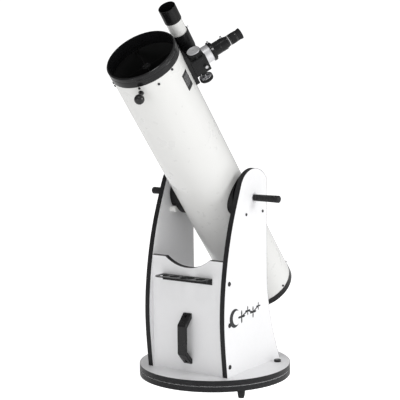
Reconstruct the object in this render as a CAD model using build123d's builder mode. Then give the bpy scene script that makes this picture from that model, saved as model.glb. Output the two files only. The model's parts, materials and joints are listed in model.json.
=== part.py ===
from build123d import *
import os
from math import cos, radians, sin, sqrt

# A Newtonian telescope on a rocker-box mount. Millimetres, +Z up. The origin is on the floor,
# on the upright axis that the rocker box turns about. The tube's mouth leans over -Y.

os.makedirs("parts", exist_ok=True)

# ---------------------------------------------------------------- driving dimensions
# Fits
GAP = 0.3  # between pieces that move past each other
RUNNING = 0.05  # radial, of a shaft in its bore
SEAT = 0.1  # between pieces that are fixed together

# Boards
BOARD_RADIUS = 264.0
BOARD_THICKNESS = 18.0
BAND = 1.2  # thickness of the edge band
PAD_GAP = 3.0  # between the ground board and the rocker board

# Feet
FOOT_HEIGHT = 30.0
FOOT_RADIUS = 10.0
FOOT_TOP_RADIUS = 14.0
FOOT_CIRCLE = 238.0
FOOT_ANGLE = -34.5

# Azimuth pads and bolt
PAD_LENGTH = 30.0
PAD_WIDTH = 20.0
PAD_CIRCLE = 190.0
BOLT_RADIUS = 5.0
NUT_ACROSS = 17.0
NUT_HEIGHT = 8.0
WASHER_THICKNESS = 2.0
WASHER_RADIUS = 15.0

# Rocker box
PANEL_THICKNESS = 18.0
INNER_HALF_WIDTH = 145.3
PIVOT_Y = 6.2
PIVOT_RISE = 589.0  # of the altitude axis over the rocker board
PANEL_HEAD_RADIUS = 100.5
PANEL_BACK = 80.0  # the panel's upright back edge, behind the altitude axis
PANEL_FOOT_FRONT = -169.5
PANEL_FOOT_BACK = 168.0
FRONT_BOARD_Y = -162.0
FRONT_BOARD_RISE = 391.0
FRONT_DIP = 32.0
FRONT_DIP_RADIUS = 144.0
PANEL_BOLT_RISES = (34.5, 176.5, 317.0)

# Bolts and wood screws
PANEL_BOLT_RADIUS = 3.0
PANEL_BOLT_LENGTH = 36.0
PANEL_BOLT_HEAD = 4.8
PANEL_BOLT_HEAD_HEIGHT = 2.2
WOOD_SCREW_RADIUS = 2.0
WOOD_SCREW_HEAD = 4.0
WOOD_SCREW_LENGTH = 30.0

# Eyepiece rack
RACK_WIDTH = 203.0
RACK_DEPTH = 60.0
RACK_SHEET = 2.5
RACK_FLANGE = 21.0
RACK_CORNER = 22.0
RACK_RISE = 330.0
RACK_WEB = 9.8
RACK_HOLES = (17.0, 17.0, 26.0, 17.0)

# Pull handle
HANDLE_LENGTH = 175.0
HANDLE_GRIP = 100.0
HANDLE_REACH = 40.0
HANDLE_THICKNESS = 13.0
HANDLE_WIDTH = 34.0
HANDLE_RISE = 28.0

# Board plug
PLUG_X = 189.0
PLUG_Y = 112.0
PLUG_RADIUS = 12.5
PLUG_HEIGHT = 8.0
PLUG_HOLE = 6.0

# Tube
REST_ALTITUDE = 50.0
TUBE_RADIUS = 117.0
TUBE_WALL = 1.2
TUBE_FRONT = 601.7
TUBE_REAR = 451.4
FRONT_RING_WIDTH = 37.4
REAR_RING_WIDTH = 22.8
RING_PROUD = 1.3
RING_WALL = 5.8
SPIGOT_LENGTH = 11.0
SPIGOT_WALL = 2.8
RING_SCREW_INSET = 5.0
RING_SCREWS = 6
RING_SCREW_ANGLE = 49.0
TUBE_SCREW_RADIUS = 2.0
TUBE_SCREW_HEAD = 3.8
TUBE_SCREW_HEAD_HEIGHT = 3.0

# Altitude hubs and their bearing posts
HUB_RADIUS = 62.5
HUB_SKIRT_RADIUS = 71.0
HUB_SKIRT_OUT = 4.0
HUB_SIDE_GAP = 0.8
POST_RADIUS = 11.0
POST_LENGTH = 22.0
POST_ANGLE = 45.0

# Tension handles
ROD_RADIUS = 5.0
PANEL_HOLE_RADIUS = 7.0
TENSION_WASHER_RADIUS = 17.0
TENSION_WASHER_THICKNESS = 2.5
TENSION_LENGTH = 99.0
TENSION_ROOT_RADIUS = 11.0
TENSION_TIP_RADIUS = 12.5
TENSION_GROOVES = 9

# Ball knob and label
BALL_ANGLE = -72.0
BALL_STATION = 578.0
BALL_RADIUS = 16.5
BALL_STANDOFF = 32.0
BALL_POST_ROOT = 9.0
BALL_POST_NECK = 5.5
LABEL_ANGLE = 9.3
LABEL_ARC = 17.4
LABEL_STATION = 516.0
LABEL_LENGTH = 62.0
LABEL_THICKNESS = 0.5

# Primary mirror and its cell
MIRROR_RADIUS = 101.5
MIRROR_THICKNESS = 25.0
CARRIER_THICKNESS = 7.0
CARRIER_OVERHANG = 3.5
FRAME_THICKNESS = 8.0
SPOKE_WIDTH = 34.0
FRAME_HUB_RADIUS = 32.0
CELL_GAP = 12.0
COLLIMATION_CIRCLE = 78.0
COLLIMATION_ANGLES = (49.0, 169.0, 289.0)
KNOB_RADIUS = 10.0
KNOB_HEIGHT = 16.0
STUD_RADIUS = 3.0
SPRING_RADIUS = 7.5
SPRING_WIRE = 1.2
LOCK_OFFSET = 22.0
CLIP_WIDTH = 16.0
CLIP_REACH = 9.0
CLIP_THICKNESS = 2.0

# Spider and secondary mirror
SPIDER_STATION = 571.0
SPIDER_DEPTH = 19.0
SPIDER_HUB_RADIUS = 14.0
VANE_THICKNESS = 1.0
VANE_ANGLE = 49.0
VANE_FOOT = 14.0
SECONDARY_RADIUS = 25.0
SECONDARY_THICKNESS = 8.0
HOLDER_RADIUS = 22.0
HOLDER_STEM_RADIUS = 8.0
HOLDER_FRONT = 556.0

# Focuser
FOCUSER_ANGLE = 52.8
FOCUSER_STATION = 506.4
BASE_LENGTH = 116.0
BASE_BACK = 36.0
BASE_FRONT = 40.0
BASE_TOP = 7.5  # over the tube's crown
BASE_CORNER = 9.0
BODY_LENGTH = 64.0
BODY_BACK = 37.0
BODY_FRONT = 43.0
BODY_HEIGHT = 54.0
BODY_CORNER = 7.0
DRAWTUBE_RADIUS = 29.0
DRAWTUBE_WALL = 3.0
DRAWTUBE_INNER_END = 100.0
SHAFT_RADIUS = 3.0
SHAFT_RISE = 34.0  # over the tube's crown
KNOB_INNER = 47.0
FOCUS_KNOB_RADIUS = 22.5
FOCUS_KNOB_WIDTH = 14.0
BUSH_RADIUS = 7.0
BUSH_LENGTH = 5.0
ROLLER_RADIUS = 5.0
ROLLER_WIDTH = 5.0
ROLLER_SPREAD = 13.0
ROLLER_SPACING = 15.0
TENSION_SCREW_X = -8.0
TENSION_SCREW_RISE = 47.0
TENSION_SCREW_HEAD = 5.5
TENSION_SCREW_HEIGHT = 9.0

# Drawtube collar, adapter and eyepiece
COLLAR_BASE = 205.0
COLLAR_HEIGHT = 11.0
COLLAR_RADIUS = 33.0
TWO_INCH_RADIUS = 25.4
SPIGOT_DEPTH = 34.0
COLLAR_SCREW_ANGLES = (0.0, 50.0)
THUMB_HEAD_RADIUS = 3.5
THUMB_HEAD_HEIGHT = 7.0
THUMB_SHANK_RADIUS = 1.5
ADAPTER_FLANGE_RADIUS = 27.5
ADAPTER_FLANGE = 3.0
ADAPTER_RADIUS = 22.0
ADAPTER_HEIGHT = 46.0
ADAPTER_NOSE_RADIUS = 19.5
ADAPTER_NOSE = 6.0
EYEPIECE_BARREL_RADIUS = 15.875
EYEPIECE_BARREL_LENGTH = 30.0
EYEPIECE_BARREL_WALL = 1.5
EYEPIECE_RADIUS = 18.0
EYEPIECE_HEIGHT = 38.0
EYECUP_RADIUS = 18.9
EYECUP_HEIGHT = 16.0
EYECUP_WALL = 2.0

# Finder
FINDER_ANGLE = 79.5
FINDER_AXIS = 58.0  # over the tube's crown
FINDER_RADIUS = 27.0
FINDER_WALL = 1.5
FINDER_REAR = 492.0
FINDER_FRONT = 640.0
FINDER_TAIL_REAR = 452.0
FINDER_TAIL_RADIUS = 16.0
FINDER_EYE_REAR = 424.0
FINDER_EYE_RADIUS = 17.0
DEW_RADIUS = 29.0
DEW_REAR = 634.0
DEW_FRONT = 688.0
BRACKET_RADIUS = 31.0
BRACKET_WALL = 2.0
BRACKET_REAR = 520.0
BRACKET_FRONT = 585.0
STEM_WIDTH = 12.0
DOVETAIL_WIDTH = 20.0
DOVETAIL_HEIGHT = 6.0
SHOE_LENGTH = 60.0
SHOE_WIDTH = 30.0
SHOE_TOP = 12.0
SHOE_FLOOR = 4.0
ADJUST_ANGLES = (0.0, 60.0, 120.0)
ADJUST_STATION = 576.0
ADJUST_HEAD_RADIUS = 4.5
ADJUST_HEAD_HEIGHT = 9.0

# How a cylinder stands on its plane: sunk below it, or up from it
TOP_DOWN = (Align.CENTER, Align.CENTER, Align.MAX)
UPRIGHT = (Align.CENTER, Align.CENTER, Align.MIN)

# ---------------------------------------------------------------- derived levels and planes
ground_bottom = FOOT_HEIGHT
ground_top = ground_bottom + BOARD_THICKNESS
rocker_bottom = ground_top + PAD_GAP
rocker_top = rocker_bottom + BOARD_THICKNESS
outer_half_width = INNER_HALF_WIDTH + PANEL_THICKNESS
pivot = Vector(0, PIVOT_Y, rocker_top + PIVOT_RISE)
tube_direction = Vector(0, -cos(radians(REST_ALTITUDE)), sin(radians(REST_ALTITUDE)))
tube_up = Vector(0, sin(radians(REST_ALTITUDE)), cos(radians(REST_ALTITUDE)))
ring_radius = TUBE_RADIUS + RING_PROUD
tube_bore = TUBE_RADIUS - TUBE_WALL


def outward(angle):
    """The direction away from the tube's axis, at an angle from +X towards the tube's upper side."""
    return Vector(1, 0, 0) * cos(radians(angle)) + tube_up * sin(radians(angle))


def station(distance):
    """The plane across the tube, at a distance from the altitude axis towards the mouth."""
    return Plane(origin=pivot + tube_direction * distance, x_dir=(1, 0, 0), z_dir=tube_direction)


def radial(distance, angle, radius=0.0):
    """The plane facing out from the tube's axis; its x runs along the tube towards the mouth."""
    origin = pivot + tube_direction * distance + outward(angle) * radius
    return Plane(origin=origin, x_dir=tube_direction, z_dir=outward(angle))


def finder_station(distance):
    """The plane across the finder's axis; its x points away from the main tube."""
    centre = outward(FINDER_ANGLE) * (TUBE_RADIUS + FINDER_AXIS)
    origin = pivot + tube_direction * distance + centre
    return Plane(origin=origin, x_dir=outward(FINDER_ANGLE), z_dir=tube_direction)


def save(builder, name):
    """Names a finished sub-part and writes its STEP file."""
    builder.part.label = name
    export_step(builder.part, f"parts/{name}.step")


# ---------------------------------------------------------------- ground board
with BuildPart() as ground_board:
    with BuildSketch(Plane.XY.offset(ground_bottom)):
        Circle(BOARD_RADIUS - BAND)
        Circle(BOLT_RADIUS + SEAT, mode=Mode.SUBTRACT)
    extrude(amount=BOARD_THICKNESS)
save(ground_board, "ground_board")

with BuildPart() as ground_edging:
    with BuildSketch(Plane.XY.offset(ground_bottom)):
        Circle(BOARD_RADIUS)
        Circle(BOARD_RADIUS - BAND, mode=Mode.SUBTRACT)
    extrude(amount=BOARD_THICKNESS)
save(ground_edging, "ground_edging")

with BuildPart() as base_feet:
    with PolarLocations(FOOT_CIRCLE, 3, start_angle=FOOT_ANGLE):
        Cone(FOOT_RADIUS, FOOT_TOP_RADIUS, FOOT_HEIGHT, align=(Align.CENTER, Align.CENTER, Align.MIN))
    fillet(base_feet.edges().group_by(Axis.Z)[0], FOOT_RADIUS / 5)
save(base_feet, "base_feet")

with BuildPart() as azimuth_pads:
    with BuildSketch(Plane.XY.offset(ground_top)):
        with PolarLocations(PAD_CIRCLE, 3, start_angle=FOOT_ANGLE):
            RectangleRounded(PAD_WIDTH, PAD_LENGTH, PAD_WIDTH / 8)
    extrude(amount=PAD_GAP - SEAT)
save(azimuth_pads, "azimuth_pads")

# The bolt's head is under the ground board; its washer and nut hold the rocker board down.
nut_seat = rocker_top + SEAT + WASHER_THICKNESS
with BuildPart() as azimuth_bolt:
    with BuildSketch(Plane.XY.offset(ground_bottom - NUT_HEIGHT)):
        RegularPolygon(NUT_ACROSS / 2, 6, major_radius=False)
    extrude(amount=NUT_HEIGHT)
    with BuildSketch(Plane.XY.offset(ground_bottom)):
        Circle(BOLT_RADIUS)
    extrude(amount=nut_seat + NUT_HEIGHT + BOLT_RADIUS - ground_bottom)
    chamfer(azimuth_bolt.edges().group_by(Axis.Z)[-1], BOLT_RADIUS / 4)
    with BuildSketch(Plane.XY.offset(rocker_top + SEAT)):
        Circle(WASHER_RADIUS)
        Circle(BOLT_RADIUS + SEAT, mode=Mode.SUBTRACT)
    extrude(amount=WASHER_THICKNESS)
    with BuildSketch(Plane.XY.offset(nut_seat)):
        RegularPolygon(NUT_ACROSS / 2, 6, major_radius=False)
        Circle(BOLT_RADIUS + SEAT, mode=Mode.SUBTRACT)
    extrude(amount=NUT_HEIGHT)
save(azimuth_bolt, "azimuth_bolt")


# ---------------------------------------------------------------- rocker box
def panel_outline(inset):
    """The side panel's edges in Y and Z: a bowed front, a round head, an upright back, a flared foot.
    The inset narrows everything but the foot's level."""
    level = rocker_top
    axis_level = level + PIVOT_RISE
    foot_y = PANEL_FOOT_FRONT + inset
    back_y = PIVOT_Y + PANEL_BACK - inset
    head_radius = PANEL_HEAD_RADIUS - inset
    head_angle = radians(124.4)
    head_start = (PIVOT_Y + head_radius * cos(head_angle), axis_level + head_radius * sin(head_angle))
    shoulder_z = axis_level + sqrt(head_radius**2 - (back_y - PIVOT_Y) ** 2)
    with BuildLine() as outline:
        front = Spline(
            (foot_y, level),
            (foot_y - 15.5, level + PIVOT_RISE * 0.314),
            (foot_y - 0.5, level + PIVOT_RISE * 0.596),
            (foot_y + 40.9, level + PIVOT_RISE * 0.869),
            (foot_y + 86.5, axis_level + 35.0),
            head_start,
            tangents=((-0.11, 1.0), (sin(head_angle), -cos(head_angle))),
        )
        head = ThreePointArc(front @ 1, (PIVOT_Y, axis_level + head_radius), (back_y, shoulder_z))
        back = Line(head @ 1, (back_y, level + PIVOT_RISE * 0.53))
        flare = Spline(
            back @ 1,
            (back_y + 20.8, level + PIVOT_RISE * 0.29),
            (back_y + 46.8, level + PIVOT_RISE * 0.148),
            (PANEL_FOOT_BACK - inset, level),
            tangents=((0, -1), (0.33, -1.0)),
        )
        Line(flare @ 1, front @ 0)
    return outline.edges()


def post_points():
    """The bearing posts' centres in Y and Z, below the altitude axis on both sides."""
    reach = HUB_RADIUS + POST_RADIUS + GAP
    across = reach * sin(radians(POST_ANGLE))
    down = reach * cos(radians(POST_ANGLE))
    return [(pivot.Y - across, pivot.Z - down), (pivot.Y + across, pivot.Z - down)]


def front_bolt_points():
    """The front board bolts' centres in Y and Z."""
    return [(FRONT_BOARD_Y + BOARD_THICKNESS / 2, rocker_top + rise) for rise in PANEL_BOLT_RISES]


def panel_bolt_planes():
    """A plane on the outer face of each panel for each bolt, facing outwards."""
    points = front_bolt_points() + post_points()
    return [
        Plane(origin=(sign * outer_half_width, y, z), x_dir=(0, sign, 0), z_dir=(sign, 0, 0))
        for sign in (1, -1)
        for y, z in points
    ]


def rack_screw_planes():
    """Screw positions on the rack's flange, facing the user."""
    z = rocker_top + RACK_RISE - RACK_FLANGE / 2
    return [
        Plane(origin=(x, FRONT_BOARD_Y - RACK_SHEET, z), x_dir=(1, 0, 0), z_dir=(0, -1, 0))
        for x in (-RACK_WIDTH * 0.4, 0, RACK_WIDTH * 0.4)
    ]


handle_foot_length = (HANDLE_LENGTH - HANDLE_GRIP) / 2
handle_screw_depth = 4.0


def handle_screw_planes():
    """Screw positions in the pull handle's two feet, facing the user."""
    middle = rocker_top + HANDLE_RISE + HANDLE_LENGTH / 2
    reach = HANDLE_LENGTH / 2 - handle_foot_length / 4
    return [
        Plane(
            origin=(0, FRONT_BOARD_Y - handle_screw_depth, middle + sign * reach),
            x_dir=(1, 0, 0),
            z_dir=(0, -1, 0),
        )
        for sign in (1, -1)
    ]


def board_screw_planes():
    """Screws up through the rocker board into the panels and the front board, facing down."""
    side_x = INNER_HALF_WIDTH + PANEL_THICKNESS / 2
    front_y = FRONT_BOARD_Y + BOARD_THICKNESS / 2
    points = [(sign * side_x, y) for sign in (1, -1) for y in (-100, 0, 100)]
    points += [(x, front_y) for x in (-80, 80)]
    return [Plane(origin=(x, y, rocker_bottom), x_dir=(1, 0, 0), z_dir=(0, 0, -1)) for x, y in points]


def wood_screw_planes():
    return rack_screw_planes() + handle_screw_planes() + board_screw_planes()


def drill_wood_screws():
    """Cuts the countersunk holes of every wood screw out of the piece being built."""
    with Locations(*wood_screw_planes()):
        Cylinder(WOOD_SCREW_RADIUS + SEAT, WOOD_SCREW_LENGTH + SEAT, align=TOP_DOWN, mode=Mode.SUBTRACT)
        Cone(
            WOOD_SCREW_RADIUS,
            WOOD_SCREW_HEAD + SEAT,
            WOOD_SCREW_HEAD - WOOD_SCREW_RADIUS + SEAT,
            align=TOP_DOWN,
            mode=Mode.SUBTRACT,
        )


def drill_panel_bolts():
    """Cuts the holes of every panel bolt out of the piece being built."""
    with Locations(*panel_bolt_planes()):
        Cylinder(PANEL_BOLT_RADIUS + SEAT, PANEL_BOLT_LENGTH + SEAT, align=TOP_DOWN, mode=Mode.SUBTRACT)


with BuildPart() as rocker_board:
    with BuildSketch(Plane.XY.offset(rocker_bottom)):
        Circle(BOARD_RADIUS - BAND)
        Circle(BOLT_RADIUS + RUNNING, mode=Mode.SUBTRACT)
        with Locations((PLUG_X, PLUG_Y)):
            Circle(PLUG_HOLE + SEAT, mode=Mode.SUBTRACT)
    extrude(amount=BOARD_THICKNESS)
    drill_wood_screws()
save(rocker_board, "rocker_board")

# The band runs along each panel's front, head and back; the foot stands bare on the board.
with BuildSketch(Plane.YZ) as panel_face:
    make_face(panel_outline(BAND))
    with Locations((PIVOT_Y, pivot.Z)):
        Circle(PANEL_HOLE_RADIUS, mode=Mode.SUBTRACT)

with BuildSketch(Plane.YZ) as panel_band:
    make_face(panel_outline(0))
    make_face(panel_outline(BAND), mode=Mode.SUBTRACT)

for panel_name, sign in (("left_panel", -1), ("right_panel", 1)):
    with BuildPart() as panel:
        with BuildSketch(Plane.YZ.offset(sign * INNER_HALF_WIDTH)):
            add(panel_face.sketch_local)
        extrude(amount=sign * PANEL_THICKNESS)
        drill_panel_bolts()
        drill_wood_screws()
    save(panel, panel_name)


front_board_plane = Plane(origin=(0, FRONT_BOARD_Y, 0), x_dir=(1, 0, 0), z_dir=(0, -1, 0))
front_board_top = rocker_top + FRONT_BOARD_RISE

# The front board's outline, with the shallow arc that clears the tube, and its band along the top
with BuildSketch(front_board_plane) as front_face:
    with Locations((0, rocker_top)):
        Rectangle(2 * (INNER_HALF_WIDTH - SEAT), FRONT_BOARD_RISE, align=(Align.CENTER, Align.MIN))
    with Locations((0, front_board_top - FRONT_DIP + FRONT_DIP_RADIUS)):
        Circle(FRONT_DIP_RADIUS, mode=Mode.SUBTRACT)

with BuildSketch(front_board_plane) as front_band:
    add(front_face.sketch_local)
    with Locations((0, -BAND)):
        add(front_face.sketch_local, mode=Mode.SUBTRACT)

with BuildPart() as front_board:
    with BuildSketch(front_board_plane):
        add(front_face.sketch_local)
        add(front_band.sketch_local, mode=Mode.SUBTRACT)
    extrude(amount=-BOARD_THICKNESS)
    drill_panel_bolts()
    drill_wood_screws()
save(front_board, "front_board")

with BuildPart() as rocker_edging:
    with BuildSketch(Plane.XY.offset(rocker_bottom)):
        Circle(BOARD_RADIUS)
        Circle(BOARD_RADIUS - BAND, mode=Mode.SUBTRACT)
    extrude(amount=BOARD_THICKNESS)
    for sign in (-1, 1):
        with BuildSketch(Plane.YZ.offset(sign * INNER_HALF_WIDTH)):
            add(panel_band.sketch_local)
        extrude(amount=sign * PANEL_THICKNESS)
    with BuildSketch(front_board_plane):
        add(front_band.sketch_local)
    extrude(amount=-BOARD_THICKNESS)
save(rocker_edging, "rocker_edging")

with BuildPart() as panel_bolts:
    with Locations(*panel_bolt_planes()):
        Cylinder(PANEL_BOLT_RADIUS, PANEL_BOLT_LENGTH, align=TOP_DOWN)
        Cylinder(PANEL_BOLT_HEAD, PANEL_BOLT_HEAD_HEIGHT, align=UPRIGHT)
        Cylinder(PANEL_BOLT_RADIUS / 2, PANEL_BOLT_HEAD_HEIGHT / 2, align=UPRIGHT, mode=Mode.SUBTRACT)
save(panel_bolts, "panel_bolts")

with BuildPart() as wood_screws:
    with Locations(*wood_screw_planes()):
        Cylinder(WOOD_SCREW_RADIUS, WOOD_SCREW_LENGTH, align=TOP_DOWN)
        Cone(WOOD_SCREW_RADIUS, WOOD_SCREW_HEAD, WOOD_SCREW_HEAD - WOOD_SCREW_RADIUS, align=TOP_DOWN)
save(wood_screws, "wood_screws")

with BuildPart() as bearing_posts:
    for sign in (-1, 1):
        with BuildSketch(Plane.YZ.offset(sign * (INNER_HALF_WIDTH - SEAT))):
            with Locations(*post_points()):
                Circle(POST_RADIUS)
        extrude(amount=-sign * POST_LENGTH)
    drill_panel_bolts()
save(bearing_posts, "bearing_posts")

rack_top = rocker_top + RACK_RISE


def rack_hole_centres():
    """Pairs of X and radius for the rack's holes, evenly spaced with equal webs between them."""
    centres = []
    x = -sum(RACK_HOLES) - RACK_WEB * (len(RACK_HOLES) - 1) / 2
    for radius in RACK_HOLES:
        centres.append((x + radius, radius))
        x += 2 * radius + RACK_WEB
    return centres


with BuildPart() as eyepiece_rack:
    with BuildSketch(Plane.XY.offset(rack_top)):
        with Locations((0, FRONT_BOARD_Y - RACK_DEPTH / 2)):
            Rectangle(RACK_WIDTH, RACK_DEPTH)
    extrude(amount=-RACK_SHEET)
    front_corners = eyepiece_rack.edges().filter_by(Axis.Z).group_by(Axis.Y)[0]
    fillet(front_corners, RACK_CORNER)
    with BuildSketch(Plane.XY.offset(rack_top)):
        for x, radius in rack_hole_centres():
            with Locations((x, FRONT_BOARD_Y - RACK_DEPTH / 2)):
                Circle(radius)
    extrude(amount=-RACK_SHEET, mode=Mode.SUBTRACT)
    with BuildSketch(Plane.XY.offset(rack_top)):
        with Locations((0, FRONT_BOARD_Y)):
            Rectangle(RACK_WIDTH, RACK_SHEET, align=(Align.CENTER, Align.MAX))
    extrude(amount=-RACK_FLANGE)
    drill_wood_screws()
save(eyepiece_rack, "eyepiece_rack")

handle_bottom = rocker_top + HANDLE_RISE
handle_top = handle_bottom + HANDLE_LENGTH
with BuildPart() as pull_handle:
    with BuildSketch(Plane.YZ) as handle_side:
        with BuildLine():
            foot = handle_foot_length / 2
            Polyline(
                (FRONT_BOARD_Y, handle_bottom),
                (FRONT_BOARD_Y - handle_screw_depth, handle_bottom),
                (FRONT_BOARD_Y - HANDLE_REACH, handle_bottom + handle_foot_length),
                (FRONT_BOARD_Y - HANDLE_REACH, handle_top - handle_foot_length),
                (FRONT_BOARD_Y - handle_screw_depth, handle_top),
                (FRONT_BOARD_Y, handle_top),
                (FRONT_BOARD_Y, handle_top - foot),
                (FRONT_BOARD_Y - HANDLE_REACH + HANDLE_THICKNESS, handle_top - handle_foot_length - foot / 2),
                (FRONT_BOARD_Y - HANDLE_REACH + HANDLE_THICKNESS, handle_bottom + handle_foot_length + foot / 2),
                (FRONT_BOARD_Y, handle_bottom + foot),
                close=True,
            )
        make_face()
    extrude(amount=HANDLE_WIDTH / 2, both=True)
    grip_edges = pull_handle.edges().filter_by(Axis.X).group_by(Axis.Y)[0]
    fillet(grip_edges, HANDLE_THICKNESS)
    rim_edges = pull_handle.faces().filter_by(Axis.X).edges()
    fillet(rim_edges.filter_by(lambda edge: edge.center().Y < FRONT_BOARD_Y - 1), 3.0)
    drill_wood_screws()
    with Locations(*handle_screw_planes()):
        Cylinder(WOOD_SCREW_HEAD + GAP, HANDLE_REACH, align=UPRIGHT, mode=Mode.SUBTRACT)
save(pull_handle, "pull_handle")

with BuildPart() as board_plug:
    with Locations((PLUG_X, PLUG_Y, rocker_top)):
        Cylinder(PLUG_RADIUS, PLUG_HEIGHT, align=UPRIGHT)
    fillet(board_plug.edges().group_by(Axis.Z)[-1], PLUG_HEIGHT / 3)
    with Locations((PLUG_X, PLUG_Y, rocker_top)):
        Cylinder(PLUG_HOLE, BOARD_THICKNESS / 2, align=TOP_DOWN)
save(board_plug, "board_plug")

# ---------------------------------------------------------------- tube and end rings
focuser_hole = DRAWTUBE_RADIUS + 2.0


def ring_screw_angles():
    return [RING_SCREW_ANGLE + 360.0 / RING_SCREWS * index for index in range(RING_SCREWS)]


def vane_angles():
    return [VANE_ANGLE + 90.0 * index for index in range(4)]


vane_screw_station = SPIDER_STATION + SPIDER_DEPTH * 0.72


def tube_screw_planes():
    """A plane on the tube's skin for each ring screw and vane screw, facing outwards."""
    front = [radial(TUBE_FRONT - RING_SCREW_INSET, angle, TUBE_RADIUS) for angle in ring_screw_angles()]
    rear = [radial(RING_SCREW_INSET * 1.8 - TUBE_REAR, angle, TUBE_RADIUS) for angle in ring_screw_angles()]
    vanes = [radial(vane_screw_station, angle, TUBE_RADIUS) for angle in vane_angles()]
    return front + rear + vanes


tube_screw_length = TUBE_WALL + 3.5


def drill_tube_screws():
    """Cuts the holes of the screws through the tube's wall out of the piece being built."""
    with Locations(*tube_screw_planes()):
        Cylinder(TUBE_SCREW_RADIUS + SEAT, 4 * tube_screw_length, mode=Mode.SUBTRACT)


with BuildPart() as tube:
    with BuildSketch(station(-TUBE_REAR)):
        Circle(TUBE_RADIUS)
        Circle(tube_bore, mode=Mode.SUBTRACT)
    extrude(amount=TUBE_FRONT + TUBE_REAR)
    with BuildSketch(radial(FOCUSER_STATION, FOCUSER_ANGLE)):
        Circle(focuser_hole)
    extrude(amount=TUBE_RADIUS * 1.5, mode=Mode.SUBTRACT)
    drill_tube_screws()
save(tube, "tube")

front_lip = TUBE_FRONT + FRONT_RING_WIDTH
with BuildPart() as front_ring:
    with BuildSketch(station(TUBE_FRONT)):
        Circle(ring_radius)
        Circle(ring_radius - RING_WALL, mode=Mode.SUBTRACT)
    extrude(amount=FRONT_RING_WIDTH)
    lip = front_ring.faces().sort_by(Axis(station(0).origin, tube_direction))[-1]
    fillet(lip.edges(), RING_WALL * 0.4)
    with BuildSketch(station(TUBE_FRONT - SPIGOT_LENGTH)):
        Circle(tube_bore - SEAT)
        Circle(tube_bore - SEAT - SPIGOT_WALL, mode=Mode.SUBTRACT)
    extrude(amount=SPIGOT_LENGTH)
    drill_tube_screws()
save(front_ring, "front_ring")

# The rear ring is one casting with the three spokes that carry the mirror's carrier.
rear_end = -TUBE_REAR - REAR_RING_WIDTH
spoke_reach = ring_radius - RING_WALL / 2
with BuildPart() as rear_frame:
    with BuildSketch(station(rear_end)):
        Circle(ring_radius)
        Circle(ring_radius - RING_WALL, mode=Mode.SUBTRACT)
    extrude(amount=REAR_RING_WIDTH)
    with BuildSketch(station(-TUBE_REAR)):
        Circle(tube_bore - SEAT)
        Circle(tube_bore - SEAT - SPIGOT_WALL, mode=Mode.SUBTRACT)
    extrude(amount=SPIGOT_LENGTH + 2)
    with BuildSketch(station(rear_end + 2)):
        Circle(FRAME_HUB_RADIUS)
        for angle in COLLIMATION_ANGLES:
            with Locations((spoke_reach / 2 * cos(radians(angle)), spoke_reach / 2 * sin(radians(angle)))):
                Rectangle(spoke_reach, SPOKE_WIDTH, rotation=angle)
            with Locations((COLLIMATION_CIRCLE * cos(radians(angle)), COLLIMATION_CIRCLE * sin(radians(angle)))):
                Circle(SPOKE_WIDTH * 0.75)
        Circle(FRAME_HUB_RADIUS * 0.45, mode=Mode.SUBTRACT)
    extrude(amount=FRAME_THICKNESS)
    with Locations(station(rear_end)):
        with PolarLocations(COLLIMATION_CIRCLE, 3, start_angle=COLLIMATION_ANGLES[0]):
            Cylinder(STUD_RADIUS + GAP, REAR_RING_WIDTH, align=UPRIGHT, mode=Mode.SUBTRACT)
            with Locations((0, LOCK_OFFSET * 0.75)):
                Cylinder(TUBE_SCREW_RADIUS + SEAT, REAR_RING_WIDTH, align=UPRIGHT, mode=Mode.SUBTRACT)
    drill_tube_screws()
save(rear_frame, "rear_frame")

with BuildPart() as tube_screws:
    with Locations(*tube_screw_planes()):
        Cylinder(TUBE_SCREW_RADIUS, tube_screw_length, align=TOP_DOWN)
        Cylinder(TUBE_SCREW_HEAD, TUBE_SCREW_HEAD_HEIGHT, align=UPRIGHT)
save(tube_screws, "tube_screws")

# ---------------------------------------------------------------- primary mirror and its cell
frame_top = rear_end + 2 + FRAME_THICKNESS
carrier_bottom = frame_top + CELL_GAP
carrier_top = carrier_bottom + CARRIER_THICKNESS
mirror_top = carrier_top + SEAT + MIRROR_THICKNESS
clip_angles = [angle + 60.0 for angle in COLLIMATION_ANGLES]

with BuildPart() as mirror_carrier:
    with BuildSketch(station(carrier_bottom)):
        Circle(MIRROR_RADIUS + CARRIER_OVERHANG)
        with PolarLocations(MIRROR_RADIUS * 0.55, 3, start_angle=clip_angles[0]):
            Circle(MIRROR_RADIUS * 0.28, mode=Mode.SUBTRACT)
        Circle(MIRROR_RADIUS * 0.15, mode=Mode.SUBTRACT)
    extrude(amount=CARRIER_THICKNESS)
    with Locations(station(carrier_bottom)):
        with PolarLocations(COLLIMATION_CIRCLE, 3, start_angle=COLLIMATION_ANGLES[0]):
            Cylinder(STUD_RADIUS + GAP, CARRIER_THICKNESS - 1, align=UPRIGHT, mode=Mode.SUBTRACT)
save(mirror_carrier, "mirror_carrier")

with BuildPart() as primary_mirror:
    with BuildSketch(station(carrier_top + SEAT)):
        Circle(MIRROR_RADIUS)
    extrude(amount=MIRROR_THICKNESS)
    chamfer(primary_mirror.edges(), 1.0)
    bowl_radius = 2400.0
    with Locations(station(mirror_top - 2.0 + bowl_radius)):
        Sphere(bowl_radius, mode=Mode.SUBTRACT)
save(primary_mirror, "primary_mirror")

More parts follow.
